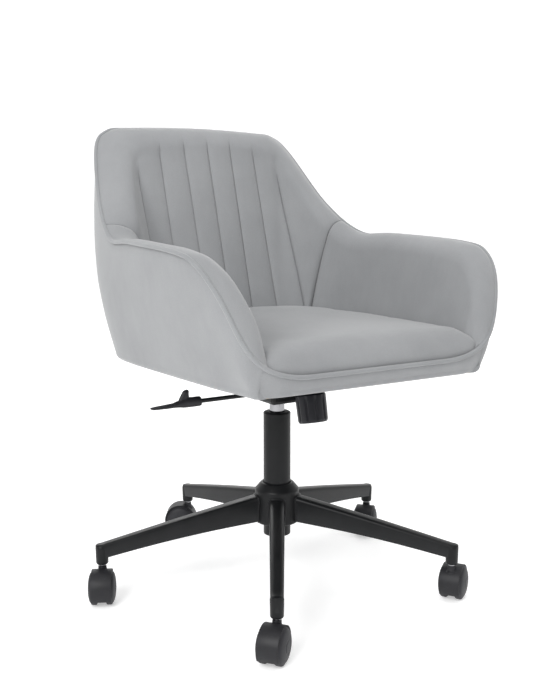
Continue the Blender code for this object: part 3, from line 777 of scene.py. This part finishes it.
def channel_columns(per_channel=14):
    """Channel coordinates from -4 to 4, crowded towards the seams at whole numbers."""
    columns = []
    for channel in range(-4, 4):
        for k in range(per_channel):
            columns.append(channel + (1 - math.cos(math.pi * k / per_channel)) / 2)
    columns.append(4.0)
    return columns


def groove_share(column, height):
    """1 on a sewn seam, falling to 0 in the middle of the channel; it fades above the seam's end."""
    seam = abs(round(column))
    away = min(abs(abs(column) - seam), 0.5)
    if seam > 3:
        return 1.0 - edge_round(away * 0.05 + 0.0003, PAD_EDGE)
    fade = smoothstep((SEAM_TOP_Z[seam] - height) / 0.035)
    return fade * (1.0 - (4 * away * (1 - away)) ** 0.42)


def back_pad():
    """The channelled back: columns follow the seams, so that each groove is one line of the mesh."""
    known = {}
    rings = []
    for column in channel_columns():
        size = abs(column)
        base = min(int(size), 3)

        def route(rise):
            key = round(rise, 5)
            if key not in known:
                known[key] = seam_places(rise)
            places = known[key]
            s = places[base] + (places[base + 1] - places[base]) * (size - base)
            return s if column >= 0 else 2 * LAST - s

        def swell(up, over, point):
            groove = groove_share(column, point.z)
            full = CHANNEL_PUFF * smoothstep(up / 0.08) * (1.0 - groove) * (1.0 - smoothstep(over) * 0.8)
            sewn = (EDGE_SEAM if size > 3.5 else CHANNEL_SEAM) * groove
            settle = 1.0 - over ** 4
            return (full - sewn + undulate(point, 0.0012) * (1.0 - groove)) * settle

        rings.append(pad_section(route, swell, rows=64))
    made = finished(skin("back_pad_fabric", rings), "seat", "grey_fabric", ("back_pad",))


def bucket_shell():
    """The moulded ply shell between the cover and the pads, with eased edges."""
    rings = []
    for s in span(PAD_START, 2 * LAST - PAD_START, 160):
        rises = (0.0, 0.3, 0.65, 0.955)
        corners = [wall_point(s, SHELL_FROM, rise) for rise in rises]
        corners += [wall_point(s, SHELL_TO, rise) for rise in reversed(rises)]
        rings.append(eased(corners, 0.0015, 3, closed=True))
    finished(skin("bucket_shell_ply", rings), "seat", "plywood", ("bucket_shell",))


def seat_half_width(y):
    """Half the seat's width at a depth, up to the arms' inner faces at the cushion's height."""
    if y <= wall_point(PAD_START, 1.0, 1.0).y:
        return CUSHION_CORNER_X
    low, high = PAD_START, float(LAST)
    for _ in range(24):
        half = (low + high) / 2
        if at_height(half, CUSHION_EDGE_Z).y < y:
            low = half
        else:
            high = half
    return max(at_height((low + high) / 2, CUSHION_EDGE_Z).x, 0.004)


def at_height(s, height):
    """The inner face's point at a station and height; below its foot or above its lip, that end."""
    return wall_point(s, 1.0, max(0.0, min(1.0, rise_at(s, 1.0, height))))


def cushion_top(x, y, half, back_y):
    """Height of the cushion's crown: rounded down to the front welt, softer at its sides and back."""
    corner = smoothstep((abs(x) - 0.120) / 0.075)
    front_z = CUSHION_FRONT_Z + CUSHION_CORNER_RISE * corner
    fall = edge_round(y - CUSHION_FRONT_Y, CUSHION_FALL)
    crown = CUSHION_CROWN * (1.0 - (x / half) ** 2) * fall
    side = CUSHION_SIDE_DROP * (1.0 - edge_round(half - abs(x), CUSHION_SOFT))
    back = CUSHION_BACK_RISE * smoothstep((y - back_y + 0.10) / 0.08)
    back -= CUSHION_BACK_DROP * (1.0 - edge_round(back_y - y, CUSHION_SOFT))
    return front_z + (CUSHION_EDGE_Z - front_z) * fall + crown + (back - side) * fall


def seat_cushion():
    """Foam cushion under stretched cloth: a slightly small start shape blown up by cloth simulation."""
    back_y = at_height(float(LAST), CUSHION_EDGE_Z).y - 0.001
    rings = []
    for k in range(CUSHION_ROWS):
        share = 0.5 - 0.5 * math.cos(math.pi * k / (CUSHION_ROWS - 1))
        y = CUSHION_FRONT_Y + (back_y - CUSHION_FRONT_Y) * share
        half = seat_half_width(y) - CUSHION_GAP
        ring = []
        for j in range(CUSHION_COLUMNS):
            x = -half * math.cos(math.pi * j / (CUSHION_COLUMNS - 1))
            ring.append(Vector((x, y, cushion_top(x, y, half, back_y) - CUSHION_BLOW)))
        ring += [Vector((x, y, PAD_Z + 0.001)) for x in span(half, -half, 9)]
        rings.append(ring)
    made = skin("seat_cushion_fabric", rings)
    blown(made, pressure=4.0, side_cap=0.003, rise_cap=0.006)
    finished(made, "seat", "grey_fabric", ("seat_cushion",))


def blown(obj, pressure, side_cap, rise_cap):
    """Inflates a closed mesh as cloth, limits how far each point may travel, and keeps the result."""
    bpy.context.view_layer.objects.active = obj
    remesh = obj.modifiers.new("remesh", "REMESH")
    remesh.mode = "VOXEL"
    remesh.voxel_size = CLOTH_VOXEL
    freeze(obj)
    rest = [vertex.co.copy() for vertex in obj.data.vertices]
    cloth = obj.modifiers.new("cloth", "CLOTH")
    cloth.settings.quality = 6
    cloth.settings.use_pressure = True
    cloth.settings.uniform_pressure_force = pressure
    cloth.settings.effector_weights.gravity = 0
    cloth.settings.tension_stiffness = CLOTH_STIFFNESS
    cloth.settings.compression_stiffness = CLOTH_STIFFNESS
    for number in range(1, CLOTH_FRAMES + 1):
        bpy.context.scene.frame_set(number)
    freeze(obj)
    for vertex, start in zip(obj.data.vertices, rest):
        move = vertex.co - start
        level = Vector((move.x, move.y, 0))
        if level.length > side_cap:
            level = level.normalized() * side_cap
        climb = max(-0.0005, min(rise_cap, move.z))
        vertex.co = start + level + Vector((0, 0, climb))
    bpy.context.scene.frame_set(1)
    smooth = obj.modifiers.new("smooth", "SMOOTH")
    smooth.iterations = 4
    smooth.factor = 0.5
    finer = obj.modifiers.new("finer", "SUBSURF")
    finer.levels = 1
    finer.render_levels = 1
    freeze(obj)


def freeze(obj):
    """Replaces an object's mesh with what its modifiers make."""
    bpy.context.view_layer.update()
    seen = obj.evaluated_get(bpy.context.evaluated_depsgraph_get())
    data = bpy.data.meshes.new_from_object(seen)
    obj.modifiers.clear()
    old = obj.data
    obj.data = data
    bpy.data.meshes.remove(old)


def front_edge(u):
    """A point of the welt's line between the corner seams, for u from -1 on the left to 1 on the right."""
    start = FRONT_TURN[0]
    reach = abs(u) * (start[0] + TURN_LENGTH)
    if reach <= start[0]:
        point = Vector((reach, start[1], start[2]))
    else:
        point = edge_point(-1.0 + (1.0 + CORNER_SEAM) * (reach - start[0]) / TURN_LENGTH)
    point.x = math.copysign(point.x, u)
    return point


def front_apron():
    """The front band under the welt, carried round the lower edge and out to the corner seams."""
    rings = []
    round_by = FOOT_ROUND * 0.7
    side = along(2, CORNER_SEAM)
    for u in span(-1.0, 1.0, 91):
        turn = smoothstep((abs(u) - 0.80) / 0.20)
        sag = 0.0007 * noise.noise(Vector((u * 4.0, 0.3, 0.0)))
        top = front_edge(u) + Vector((0, 0, -0.0008))
        low = Vector((side.x * u, APRON_FOOT_Y + (side.y - APRON_FOOT_Y) * turn, UNDER_Z + round_by))
        ring = []
        for row in span(0.0, 1.0, 12):
            bulge = APRON_BULGE * math.sin(math.pi * row) * (1.0 - turn * 0.6) + sag
            ring.append(top.lerp(low, row) - Vector((0, bulge, 0)))
        for k in range(1, 6):
            angle = math.pi / 2 * k / 5
            back = round_by * (1 - math.cos(angle))
            ring.append(Vector((low.x - 0.002 * u, low.y + back, low.z - round_by * math.sin(angle))))
        ring.append(Vector((low.x * 0.93, low.y + 0.034, UNDER_Z)))
        ring.append(Vector((low.x * 0.93, low.y + 0.034, UNDER_Z + 0.0008)))
        ring.append(Vector((low.x * 0.97, low.y + 0.004 + round_by, UNDER_Z + 0.002)))
        ring.append(top + Vector((0, 0.0025, 0)))
        rings.append(ring)
    finished(skin("front_apron_fabric", rings), "seat", "grey_fabric", ("front_apron",))


def welt_piping():
    """One covered cord all the way round the edge, level across the front."""
    points = [welt_point(s) for s in span(-1.0, 2 * LAST + 1.0, 330)]
    first, last = points[0], points[-1]
    points += [last.lerp(first, t) for t in span(0.0, 1.0, 24)[1:-1]]
    made = wire("welt_cord", points, WELT_RADIUS, closed=True, sides=14)
    finished(made, "seat", "piping_fabric", ("welt_piping",))


def dust_cover():
    """Lining under the seat, puckered between the staples that hold its turned edge."""
    outline = []
    for s in span(0.0, 2 * LAST, 160):
        at = wall_point(s, SHELL_TO, 0.0)
        away = Vector((at.x, at.y + 0.03, 0)).normalized()
        outline.append(at - away * 0.010)
    count = len(outline)
    heart = Vector((0, -0.03, 0))
    low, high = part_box("dust_cover")[0].z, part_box("dust_cover")[1].z
    rings = []
    for share in (0.02, 0.25, 0.5, 0.72, 0.86, 0.94, 0.975, 1.0):
        ring = []
        for k, point in enumerate(outline):
            pucker = 0.0006 * math.cos(2 * math.pi * k / 4.0) * smoothstep((share - 0.8) / 0.2)
            sag = 0.0014 * (1 - share) * noise.noise(Vector((point.x * 9, point.y * 9, share)))
            flat = heart + (Vector((point.x, point.y, 0)) - heart) * share
            ring.append(Vector((flat.x, flat.y, low + 0.0004 + abs(pucker) - abs(sag))))
        rings.append(ring)
    rings += [[Vector((p.x, p.y, high)) for p in ring] for ring in reversed(rings)]
    finished(skin("dust_cover_lining", rings), "seat", "black_lining", ("dust_cover",))
    staples = []
    leg = Vector((0, 0, 0.0010))
    for k in range(0, count, 4):
        point = outline[k]
        ahead = outline[(k + 1) % count]
        way = (ahead - point).normalized()
        inside = heart + (Vector((point.x, point.y, 0)) - heart) * 0.97
        spot = Vector((inside.x, inside.y, low - 0.0001))
        half = way * STAPLE_HALF
        ends = [spot - way * 0.005 + leg, spot - half, spot + half, spot + way * 0.005 + leg]
        staples.append(wire("staple", ends, STAPLE_WIRE, sides=6))
    finished(joined("dust_cover_staples", *staples), "seat", "zinc_steel")


# ---------------------------------------------------------------- base and column


def hub():
    """The base's hub, the lift's outer tube and the plastic guide in its mouth."""
    tube = COLUMN_RADIUS + 0.0003
    profile = ((tube, 0.1880), (0.0262, 0.1895), (0.0298, 0.1890), (HUB_RADIUS, 0.176), (HUB_RADIUS, 0.116))
    profile += ((HUB_RADIUS - 0.003, 0.114), (tube, 0.114))
    finished(turned("hub_shell", rounded(profile, 0.0022), 96), "base", "black_steel", ("base_hub",))
    column = ((0.0232, 0.3195), (0.0236, 0.3210), (COLUMN_RADIUS, 0.3200), (COLUMN_RADIUS, 0.0905))
    column += ((0.0242, 0.0900), (0.0058, 0.0900), (0.0058, 0.0930), (0.0230, 0.0930))
    finished(turned("column_sleeve", rounded(column, 0.0010, 3), 96), "base", "black_steel", ("column_tube",))
    guide = ((0.0149, 0.3225), (0.0216, 0.3222), (0.0224, 0.3205), (0.0226, 0.3170), (0.0226, 0.2510))
    guide += ((0.0149, 0.2510),)
    finished(turned("column_guide", rounded(guide, 0.0008, 3), 72), "base", "black_nylon", ("guide_bushing",))


def arm_section(distance, half, low, high, points):
    """Pressed arm: flat underside, upright sides and a broad crown with tight shoulders."""
    shoulder = high - half * 0.75
    ring = [Vector((distance, side * half * 0.9, low)) for side in (-1, 1)]
    for k in range(points):
        angle = math.pi * k / (points - 1)
        across = half * math.copysign(abs(math.cos(angle)) ** 0.62, math.cos(angle))
        up = (high - shoulder) * abs(math.sin(angle)) ** 0.62
        ring.append(Vector((distance, across, shoulder + up)))
    return ring


def arm_sizes(t):
    """Half the width, underside and crown of a base arm, from its root at 0 to its socket at 1."""
    half, low, high = (root + (tip - root) * t for root, tip in zip(ARM_ROOT, ARM_TIP))
    arch = math.sin(math.pi * t)
    return half, low + 0.004 * arch, high + 0.001 * arch


def base_arm(number):
    """One arm of the star with its caster socket and the weld at the hub."""
    turn = math.radians(FIRST_ARM_DEG + 72.0 * (number - 1))
    rings = []
    start = HUB_RADIUS - 0.002
    for t in span(0.0, 1.0, 30):
        half, low, high = arm_sizes(t)
        rings.append(arm_section(start + t * (SOCKET_RADIUS - start), half, low, high, 21))
    half, low, high = arm_sizes(1.0)
    for angle in span(0.0, math.pi / 2, 10)[1:]:
        closing = max(math.cos(angle), 0.03)
        distance = SOCKET_RADIUS + 0.0112 * math.sin(angle)
        top = high - 0.0035 * (1 - closing)
        rings.append(arm_section(distance, half * closing, low, top, 21))
    beam = skin("beam", rings)
    socket = ((0.0062, 0.0960), (0.0062, 0.0684), (0.0066, 0.0680), (0.0090, 0.0680), (0.0108, 0.0702))
    socket += ((0.0114, 0.0980), (0.0108, 0.1005), (0.0, 0.1008))
    post = turned("post", rounded(socket, 0.0008, 3), 48)
    post.location = (SOCKET_RADIUS, 0, 0)
    bpy.context.view_layer.update()
    arm = joined("base_arm_%d_shell" % number, beam, post)
    at = Matrix.Rotation(turn, 4, "Z")
    finished(arm, "base", "black_steel", ("base_arm_%d" % number,), at=at)
    finished(weld("base_weld_%d" % number), "base", "black_steel", at=at)


def weld(name):
    """Rippled weld bead where the arm meets the hub."""
    half, low, high = arm_sizes(0.0)
    section = arm_section(HUB_RADIUS, half, low, high, 41)[1:]
    section = [section[0].lerp(section[1], t) for t in span(0, 1, 26)] + section[2:]
    section += [section[-1].lerp(Vector((0, -half * 0.9, low)), t) for t in span(0.1, 1, 20)]
    points = []
    for point in section:
        reach = math.sqrt(max(HUB_RADIUS ** 2 - point.y ** 2, 0.0)) + 0.0008
        points.append(Vector((reach, point.y * 1.02, point.z)))
    bead = wire(name, points, WELD_RADIUS, sides=10)
    for vertex in bead.data.vertices:
        ripple = noise.noise(vertex.co * 900.0) * 0.00025
        vertex.co += (vertex.co - Vector((0, 0, (low + high) / 2))).normalized() * ripple
    return bead


# ---------------------------------------------------------------- casters


def wheel_mesh():
    """One wheel about +Y: soft tread, a step beside it, a domed disc with a turned ring and a hub cap."""
    profile = [(0.0, WHEEL_INNER + 0.0004), (0.0060, WHEEL_INNER), (0.0275, WHEEL_INNER)]
    profile += [(0.0292, WHEEL_INNER + 0.0006), (WHEEL_RADIUS, WHEEL_INNER + 0.0018)]
    profile += [(WHEEL_RADIUS, WHEEL_TREAD - 0.0016), (0.0294, WHEEL_TREAD), (0.0284, WHEEL_TREAD + 0.0002)]
    profile += [(0.0281, WHEEL_TREAD - 0.0004), (0.0277, WHEEL_TREAD + 0.0006)]
    for t in span(0.10, 0.97, 16):
        radius = 0.0277 * (1 - t)
        width = WHEEL_TREAD + (WHEEL_DOME - 0.0004 - WHEEL_TREAD) * math.sqrt(1 - (1 - t) ** 2)
        ring = 0.0007 * math.exp(-(((radius - 0.0105) / 0.0009) ** 2))
        profile.append((radius, width - ring))
    profile.append((0.0, WHEEL_DOME - 0.0003))
    made = turned("wheel", profile, 72)
    made.data.transform(Matrix.Rotation(-math.pi / 2, 4, "X"))
    return made


def hood_section(angle):
    """The mudguard's section at one angle round the axle, with soft outer edges."""
    half = WHEEL_TREAD
    corners = [(HOOD_OUTER, -half), (HOOD_OUTER, half), (HOOD_INNER, half), (HOOD_INNER, -half)]
    soft = eased([(width, radius, 0) for radius, width in corners], 0.0006, 3, closed=True)
    ring = []
    for point in soft:
        radius, width = point.y, point.x
        x = TRAIL + radius * math.sin(angle)
        ring.append(Vector((x, width, WHEEL_RADIUS + radius * math.cos(angle))))
    return ring


def hood_mesh():
    """The caster's hood: mudguard band, web between the wheels and the collar that holds the stem."""
    reach = math.radians(HOOD_REACH_DEG)
    band = skin("band", [hood_section(angle) for angle in span(-reach, reach, 72)])
    low_angle = math.acos((WEB_FLOOR - WHEEL_RADIUS) / WEB_RADIUS)
    outline = []
    for angle in span(-low_angle, low_angle, 72):
        x, z = WEB_RADIUS * math.sin(angle), WEB_RADIUS * math.cos(angle)
        outline.append(Vector((TRAIL + x, 0, WHEEL_RADIUS + z)))
    heart = Vector((TRAIL, 0, WHEEL_RADIUS))
    rings = []
    half_web = ((0.0070, 0.97), (0.0066, 0.99), (0.0058, 1.0))
    for width, shrink in [(-w, f) for w, f in half_web] + list(reversed(half_web)):
        rings.append([heart + (point - heart) * shrink + Vector((0, width, 0)) for point in outline])
    web = skin("web", rings)
    collar = ((0.0050, 0.0650), (0.0070, 0.0650), (0.0073, 0.0640), (0.0079, 0.0560), (0.0105, 0.0545))
    collar += ((0.0110, 0.0500), (0.0050, 0.0500))
    return joined("hood", band, web, turned("collar", rounded(collar, 0.0008, 3), 48))


def stem_mesh():
    """The caster's stem with its collar ring."""
    profile = ((0.0, 0.0950), (0.0040, 0.0950), (0.0053, 0.0935), (0.0053, 0.0690), (0.0066, 0.0684))
    profile += ((0.0068, 0.0672), (0.0068, 0.0656), (0.0045, 0.0652), (0.0045, 0.0500), (0.0, 0.0500))
    return turned("stem", rounded(profile, 0.0004, 2), 40)


def casters():
    """The five casters: hood and stem on the swivel body, a wheel on each side of it."""
    wheel, hood, stem = wheel_mesh(), hood_mesh(), stem_mesh()
    for number in range(1, ARM_COUNT + 1):
        stand = math.radians(FIRST_ARM_DEG + 72.0 * (number - 1))
        spot = Vector((SOCKET_RADIUS * math.cos(stand), SOCKET_RADIUS * math.sin(stand), 0))
        at = Matrix.Translation(spot) @ Matrix.Rotation(math.radians(TRAIL_DEG[number - 1]), 4, "Z")
        tag = "_%d" % number
        body = "caster" + tag
        finished(twin(hood, "caster_shell" + tag), body, "black_nylon", ("caster_hood" + tag,), at=at)
        finished(twin(stem, "caster_pin" + tag), body, "chrome_steel", ("caster_stem" + tag,), at=at)
        for side, letter in ((-1, "a"), (1, "b")):
            turn = Matrix.Translation((TRAIL, 0, WHEEL_RADIUS))
            if side < 0:
                turn = turn @ Matrix.Rotation(math.pi, 4, "Z")
            made = twin(wheel, "caster_disc" + tag + letter)
            node = "caster_wheel" + tag + letter
            finished(made, "wheel" + tag + letter, "wheel_plastic", (node,), at=at @ turn)
    for pattern in (wheel, hood, stem):
        bpy.data.objects.remove(pattern, do_unlink=True)


def twin(obj, name):
    made = bpy.data.objects.new(name, obj.data.copy())
    bpy.context.scene.collection.objects.link(made)
    return made


# ---------------------------------------------------------------- lift, lever and knob


def gas_lift():
    """The chrome cylinder, with the chamfer that enters the mechanism's socket."""
    top, low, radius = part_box("gas_cylinder")[1].z, GAS_LOW, GAS_RADIUS
    profile = ((0.0045, top), (0.0128, top), (radius, top - 0.012), (radius, low + 0.002), (0.0125, low))
    profile += ((0.0046, low), (0.0046, top - 0.010))
    made = turned("gas_cylinder_chrome", rounded(profile, 0.0006, 3), 96)
    finished(made, "lift", "chrome_steel", ("gas_cylinder",))


def knob_axis():
    """The tension bolt's axis: through the housing's front tongue, leaning forward."""
    return Matrix.Translation(KNOB_PLACE) @ Matrix.Rotation(-math.radians(KNOB_LEAN_DEG), 4, "X")


def tension_knob():
    """The fluted knob cup and the spring inside it."""
    def flute(angle, height):
        wave = max(0.0, math.cos(KNOB_FLUTES * angle)) ** 3
        fade = smoothstep((-0.0085 - height) / 0.006) * smoothstep((height + 0.0572) / 0.008)
        return 1.0 - 0.075 * wave * fade

    profile = ((0.0245, -0.0070), (0.0270, -0.0092), (0.0270, -0.0200), (0.0266, -0.0380), (0.0262, -0.0530))
    profile += ((0.0240, -0.0570), (0.0120, -0.0570), (0.0112, -0.0562), (0.0060, -0.0562), (0.0047, -0.0570))
    profile += ((0.0047, -0.0505), (0.0215, -0.0505), (0.0230, -0.0070))
    made = turned("tension_knob_cup", rounded(profile, 0.0016, 4), 160, flute)
    finished(made, "knob", "black_nylon", ("tension_knob",), finish=KNOB, at=knob_axis())
    steps = SPRING_TURNS * 28
    points = []
    for k in range(steps + 1):
        angle = 2 * math.pi * k / 28
        height = SPRING_LOW + (SPRING_HIGH - SPRING_LOW) * k / steps
        points.append(Vector((SPRING_RADIUS * math.cos(angle), SPRING_RADIUS * math.sin(angle), height)))
    coil = wire("tension_coil", points, SPRING_WIRE, sides=10)
    finished(coil, "lift", "spring_steel", ("tension_spring",), at=knob_axis())


def lever_parts():
    """The lever's cranked bar, and its handle: a sleeve that flattens to a paddle, with a thumb wing."""
    route = [(-0.200, 0, 0), (-0.030, 0, 0), (-0.018, 0.003, 0.002), (-0.011, 0.012, 0.008)]
    route += [(-0.004, 0.024, 0.011), (0.0, 0.046, 0.011)]
    points = [LEVER + point for point in eased(route, 0.012, 6)]
    finished(wire("lever_bar", points, LEVER_RADIUS, sides=20), "lever", "black_steel", ("lever_rod",))
    rings = []
    stations = (
        (-0.1800, 0.0062, 0.0062, 0.0, 1.0),
        (-0.1806, 0.0080, 0.0080, 0.0, 1.0),
        (-0.1825, 0.0085, 0.0085, 0.0, 1.0),
        (-0.2060, 0.0085, 0.0085, 0.0, 1.0),
        (-0.2130, 0.0082, 0.0078, -0.0002, 0.9),
        (-0.2200, 0.0074, 0.0056, -0.0012, 0.75),
        (-0.2300, 0.0074, 0.0034, -0.0024, 0.62),
        (-0.2450, 0.0078, 0.0027, -0.0030, 0.55),
        (-0.2600, 0.0076, 0.0021, -0.0034, 0.55),
        (-0.2690, 0.0062, 0.0017, -0.0036, 0.6),
        (-0.2716, 0.0036, 0.0010, -0.0036, 0.8),
        (-0.2720, 0.0010, 0.0004, -0.0036, 1.0),
    )
    for x, half_y, half_z, drop, square in stations:
        ring = []
        for k in range(40):
            angle = 2 * math.pi * k / 40
            across = math.copysign(abs(math.cos(angle)) ** square, math.cos(angle)) * half_y
            up = math.copysign(abs(math.sin(angle)) ** square, math.sin(angle)) * half_z
            ring.append(LEVER + Vector((x, across, up + drop)))
        rings.append(ring)
    grip = skin("sleeve", rings)
    wing_rings = []
    for t in span(0.0, 1.0, 14):
        cap = math.sqrt(max(0.0, 1 - max(0.0, (t - 0.84) / 0.16) ** 2))
        half = (0.0108 - 0.0052 * smoothstep(t)) * max(cap, 0.35)
        thick = (0.0052 - 0.0012 * t) * max(cap, 0.35)
        ring = []
        for k in range(24):
            angle = 2 * math.pi * k / 24
            x = -0.2110 + 0.005 * t * t + half * math.cos(angle)
            ring.append(Vector((x, LEVER.y + thick * math.sin(angle), LEVER.z + 0.022 * t)))
        wing_rings.append(ring)
    wing = skin("wing", wing_rings)
    finished(joined("lever_handle", grip, wing), "lever", "black_nylon", ("lever_grip",))


# ---------------------------------------------------------------- CAD nodes that stay


def dress_frame():
    """Gives each CAD node that stays in view the finish of its record slot."""
    slots = {}
    for part in frame["record"]["subparts"]:
        slots[part["node"]] = part["material_slot"]
    for name, obj in frame["nodes"].items():
        obj.data.materials.clear()
        obj.data.materials.append(FINISH_OF_SLOT[slots[name]])


# ---------------------------------------------------------------- stage


def stage():
    """A pale seamless floor that curves up behind the chair."""
    rings = []
    for y, z in ((-9.0, 0.0), (3.0, 0.0), (4.2, 0.15), (5.0, 0.7), (5.4, 1.6), (5.5, 3.0), (5.5, 8.0)):
        rings.append([Vector((x, y, z)) for x in (-12.0, 12.0)])
    mesh = bmesh.new()
    rows = [[mesh.verts.new(point) for point in ring] for ring in rings]
    for near, far in zip(rows, rows[1:]):
        mesh.faces.new((near[0], near[1], far[1], far[0]))
    floor = from_bmesh("floor", mesh)
    floor.data.shade_smooth()
    pale = shader("pale_floor", (0.88, 0.88, 0.88), 0.9, Emission_Strength=0.40)
    pale.node_tree.nodes["Principled BSDF"].inputs["Emission Color"].default_value = (1, 1, 1, 1)
    floor.data.materials.append(pale)
    floor.rotation_euler[2] = math.radians(-32.0)


def lamp(name, place, size, power, target=(0.0, 0.0, 0.5)):
    data = bpy.data.lights.new(name, "AREA")
    data.shape = "RECTANGLE"
    data.size, data.size_y = size
    data.energy = power
    made = bpy.data.objects.new(name, data)
    bpy.context.scene.collection.objects.link(made)
    made.location = place
    way = Vector(target) - Vector(place)
    made.rotation_euler = way.to_track_quat("-Z", "Y").to_euler()


def lights():
    """An even pale room, with the main light from the left front and above."""
    world = bpy.data.worlds.new("studio")
    bpy.context.scene.world = world
    world.use_nodes = True
    sky = world.node_tree.nodes["Background"]
    sky.inputs["Color"].default_value = (1.0, 1.0, 1.0, 1.0)
    sky.inputs["Strength"].default_value = 0.46
    lamp("key", (-2.6, -1.5, 2.2), (1.6, 1.6), 82.0)
    lamp("top", (0.3, -0.4, 3.0), (2.4, 2.4), 36.0)
    lamp("fill", (2.2, -2.2, 1.2), (1.6, 1.6), 8.0)
    lamp("rim", (0.9, 2.6, 1.9), (1.6, 1.2), 16.0)


def camera():
    """The camera, from the front left a little above the seat."""
    data = bpy.data.cameras.new("camera")
    data.lens = 50.0
    data.sensor_width = 36.0
    made = bpy.data.objects.new("camera", data)
    bpy.context.scene.collection.objects.link(made)
    eye, target = AXIS + CAMERA_EYE, AXIS + CAMERA_TARGET
    made.location = eye
    made.rotation_euler = (target - eye).to_track_quat("-Z", "Y").to_euler()
    bpy.context.scene.camera = made


camera()
stage()
lights()
dress_frame()
outer_cover()
arm_pad("arm_pad_left_fabric", False, "arm_pad_left")
arm_pad("arm_pad_right_fabric", True, "arm_pad_right")
back_pad()
bucket_shell()
seat_cushion()
front_apron()
welt_piping()
dust_cover()
hub()
for arm_number in range(1, ARM_COUNT + 1):
    base_arm(arm_number)
casters()
gas_lift()
tension_knob()
lever_parts()
bpy.context.scene.view_settings.view_transform = "Standard"
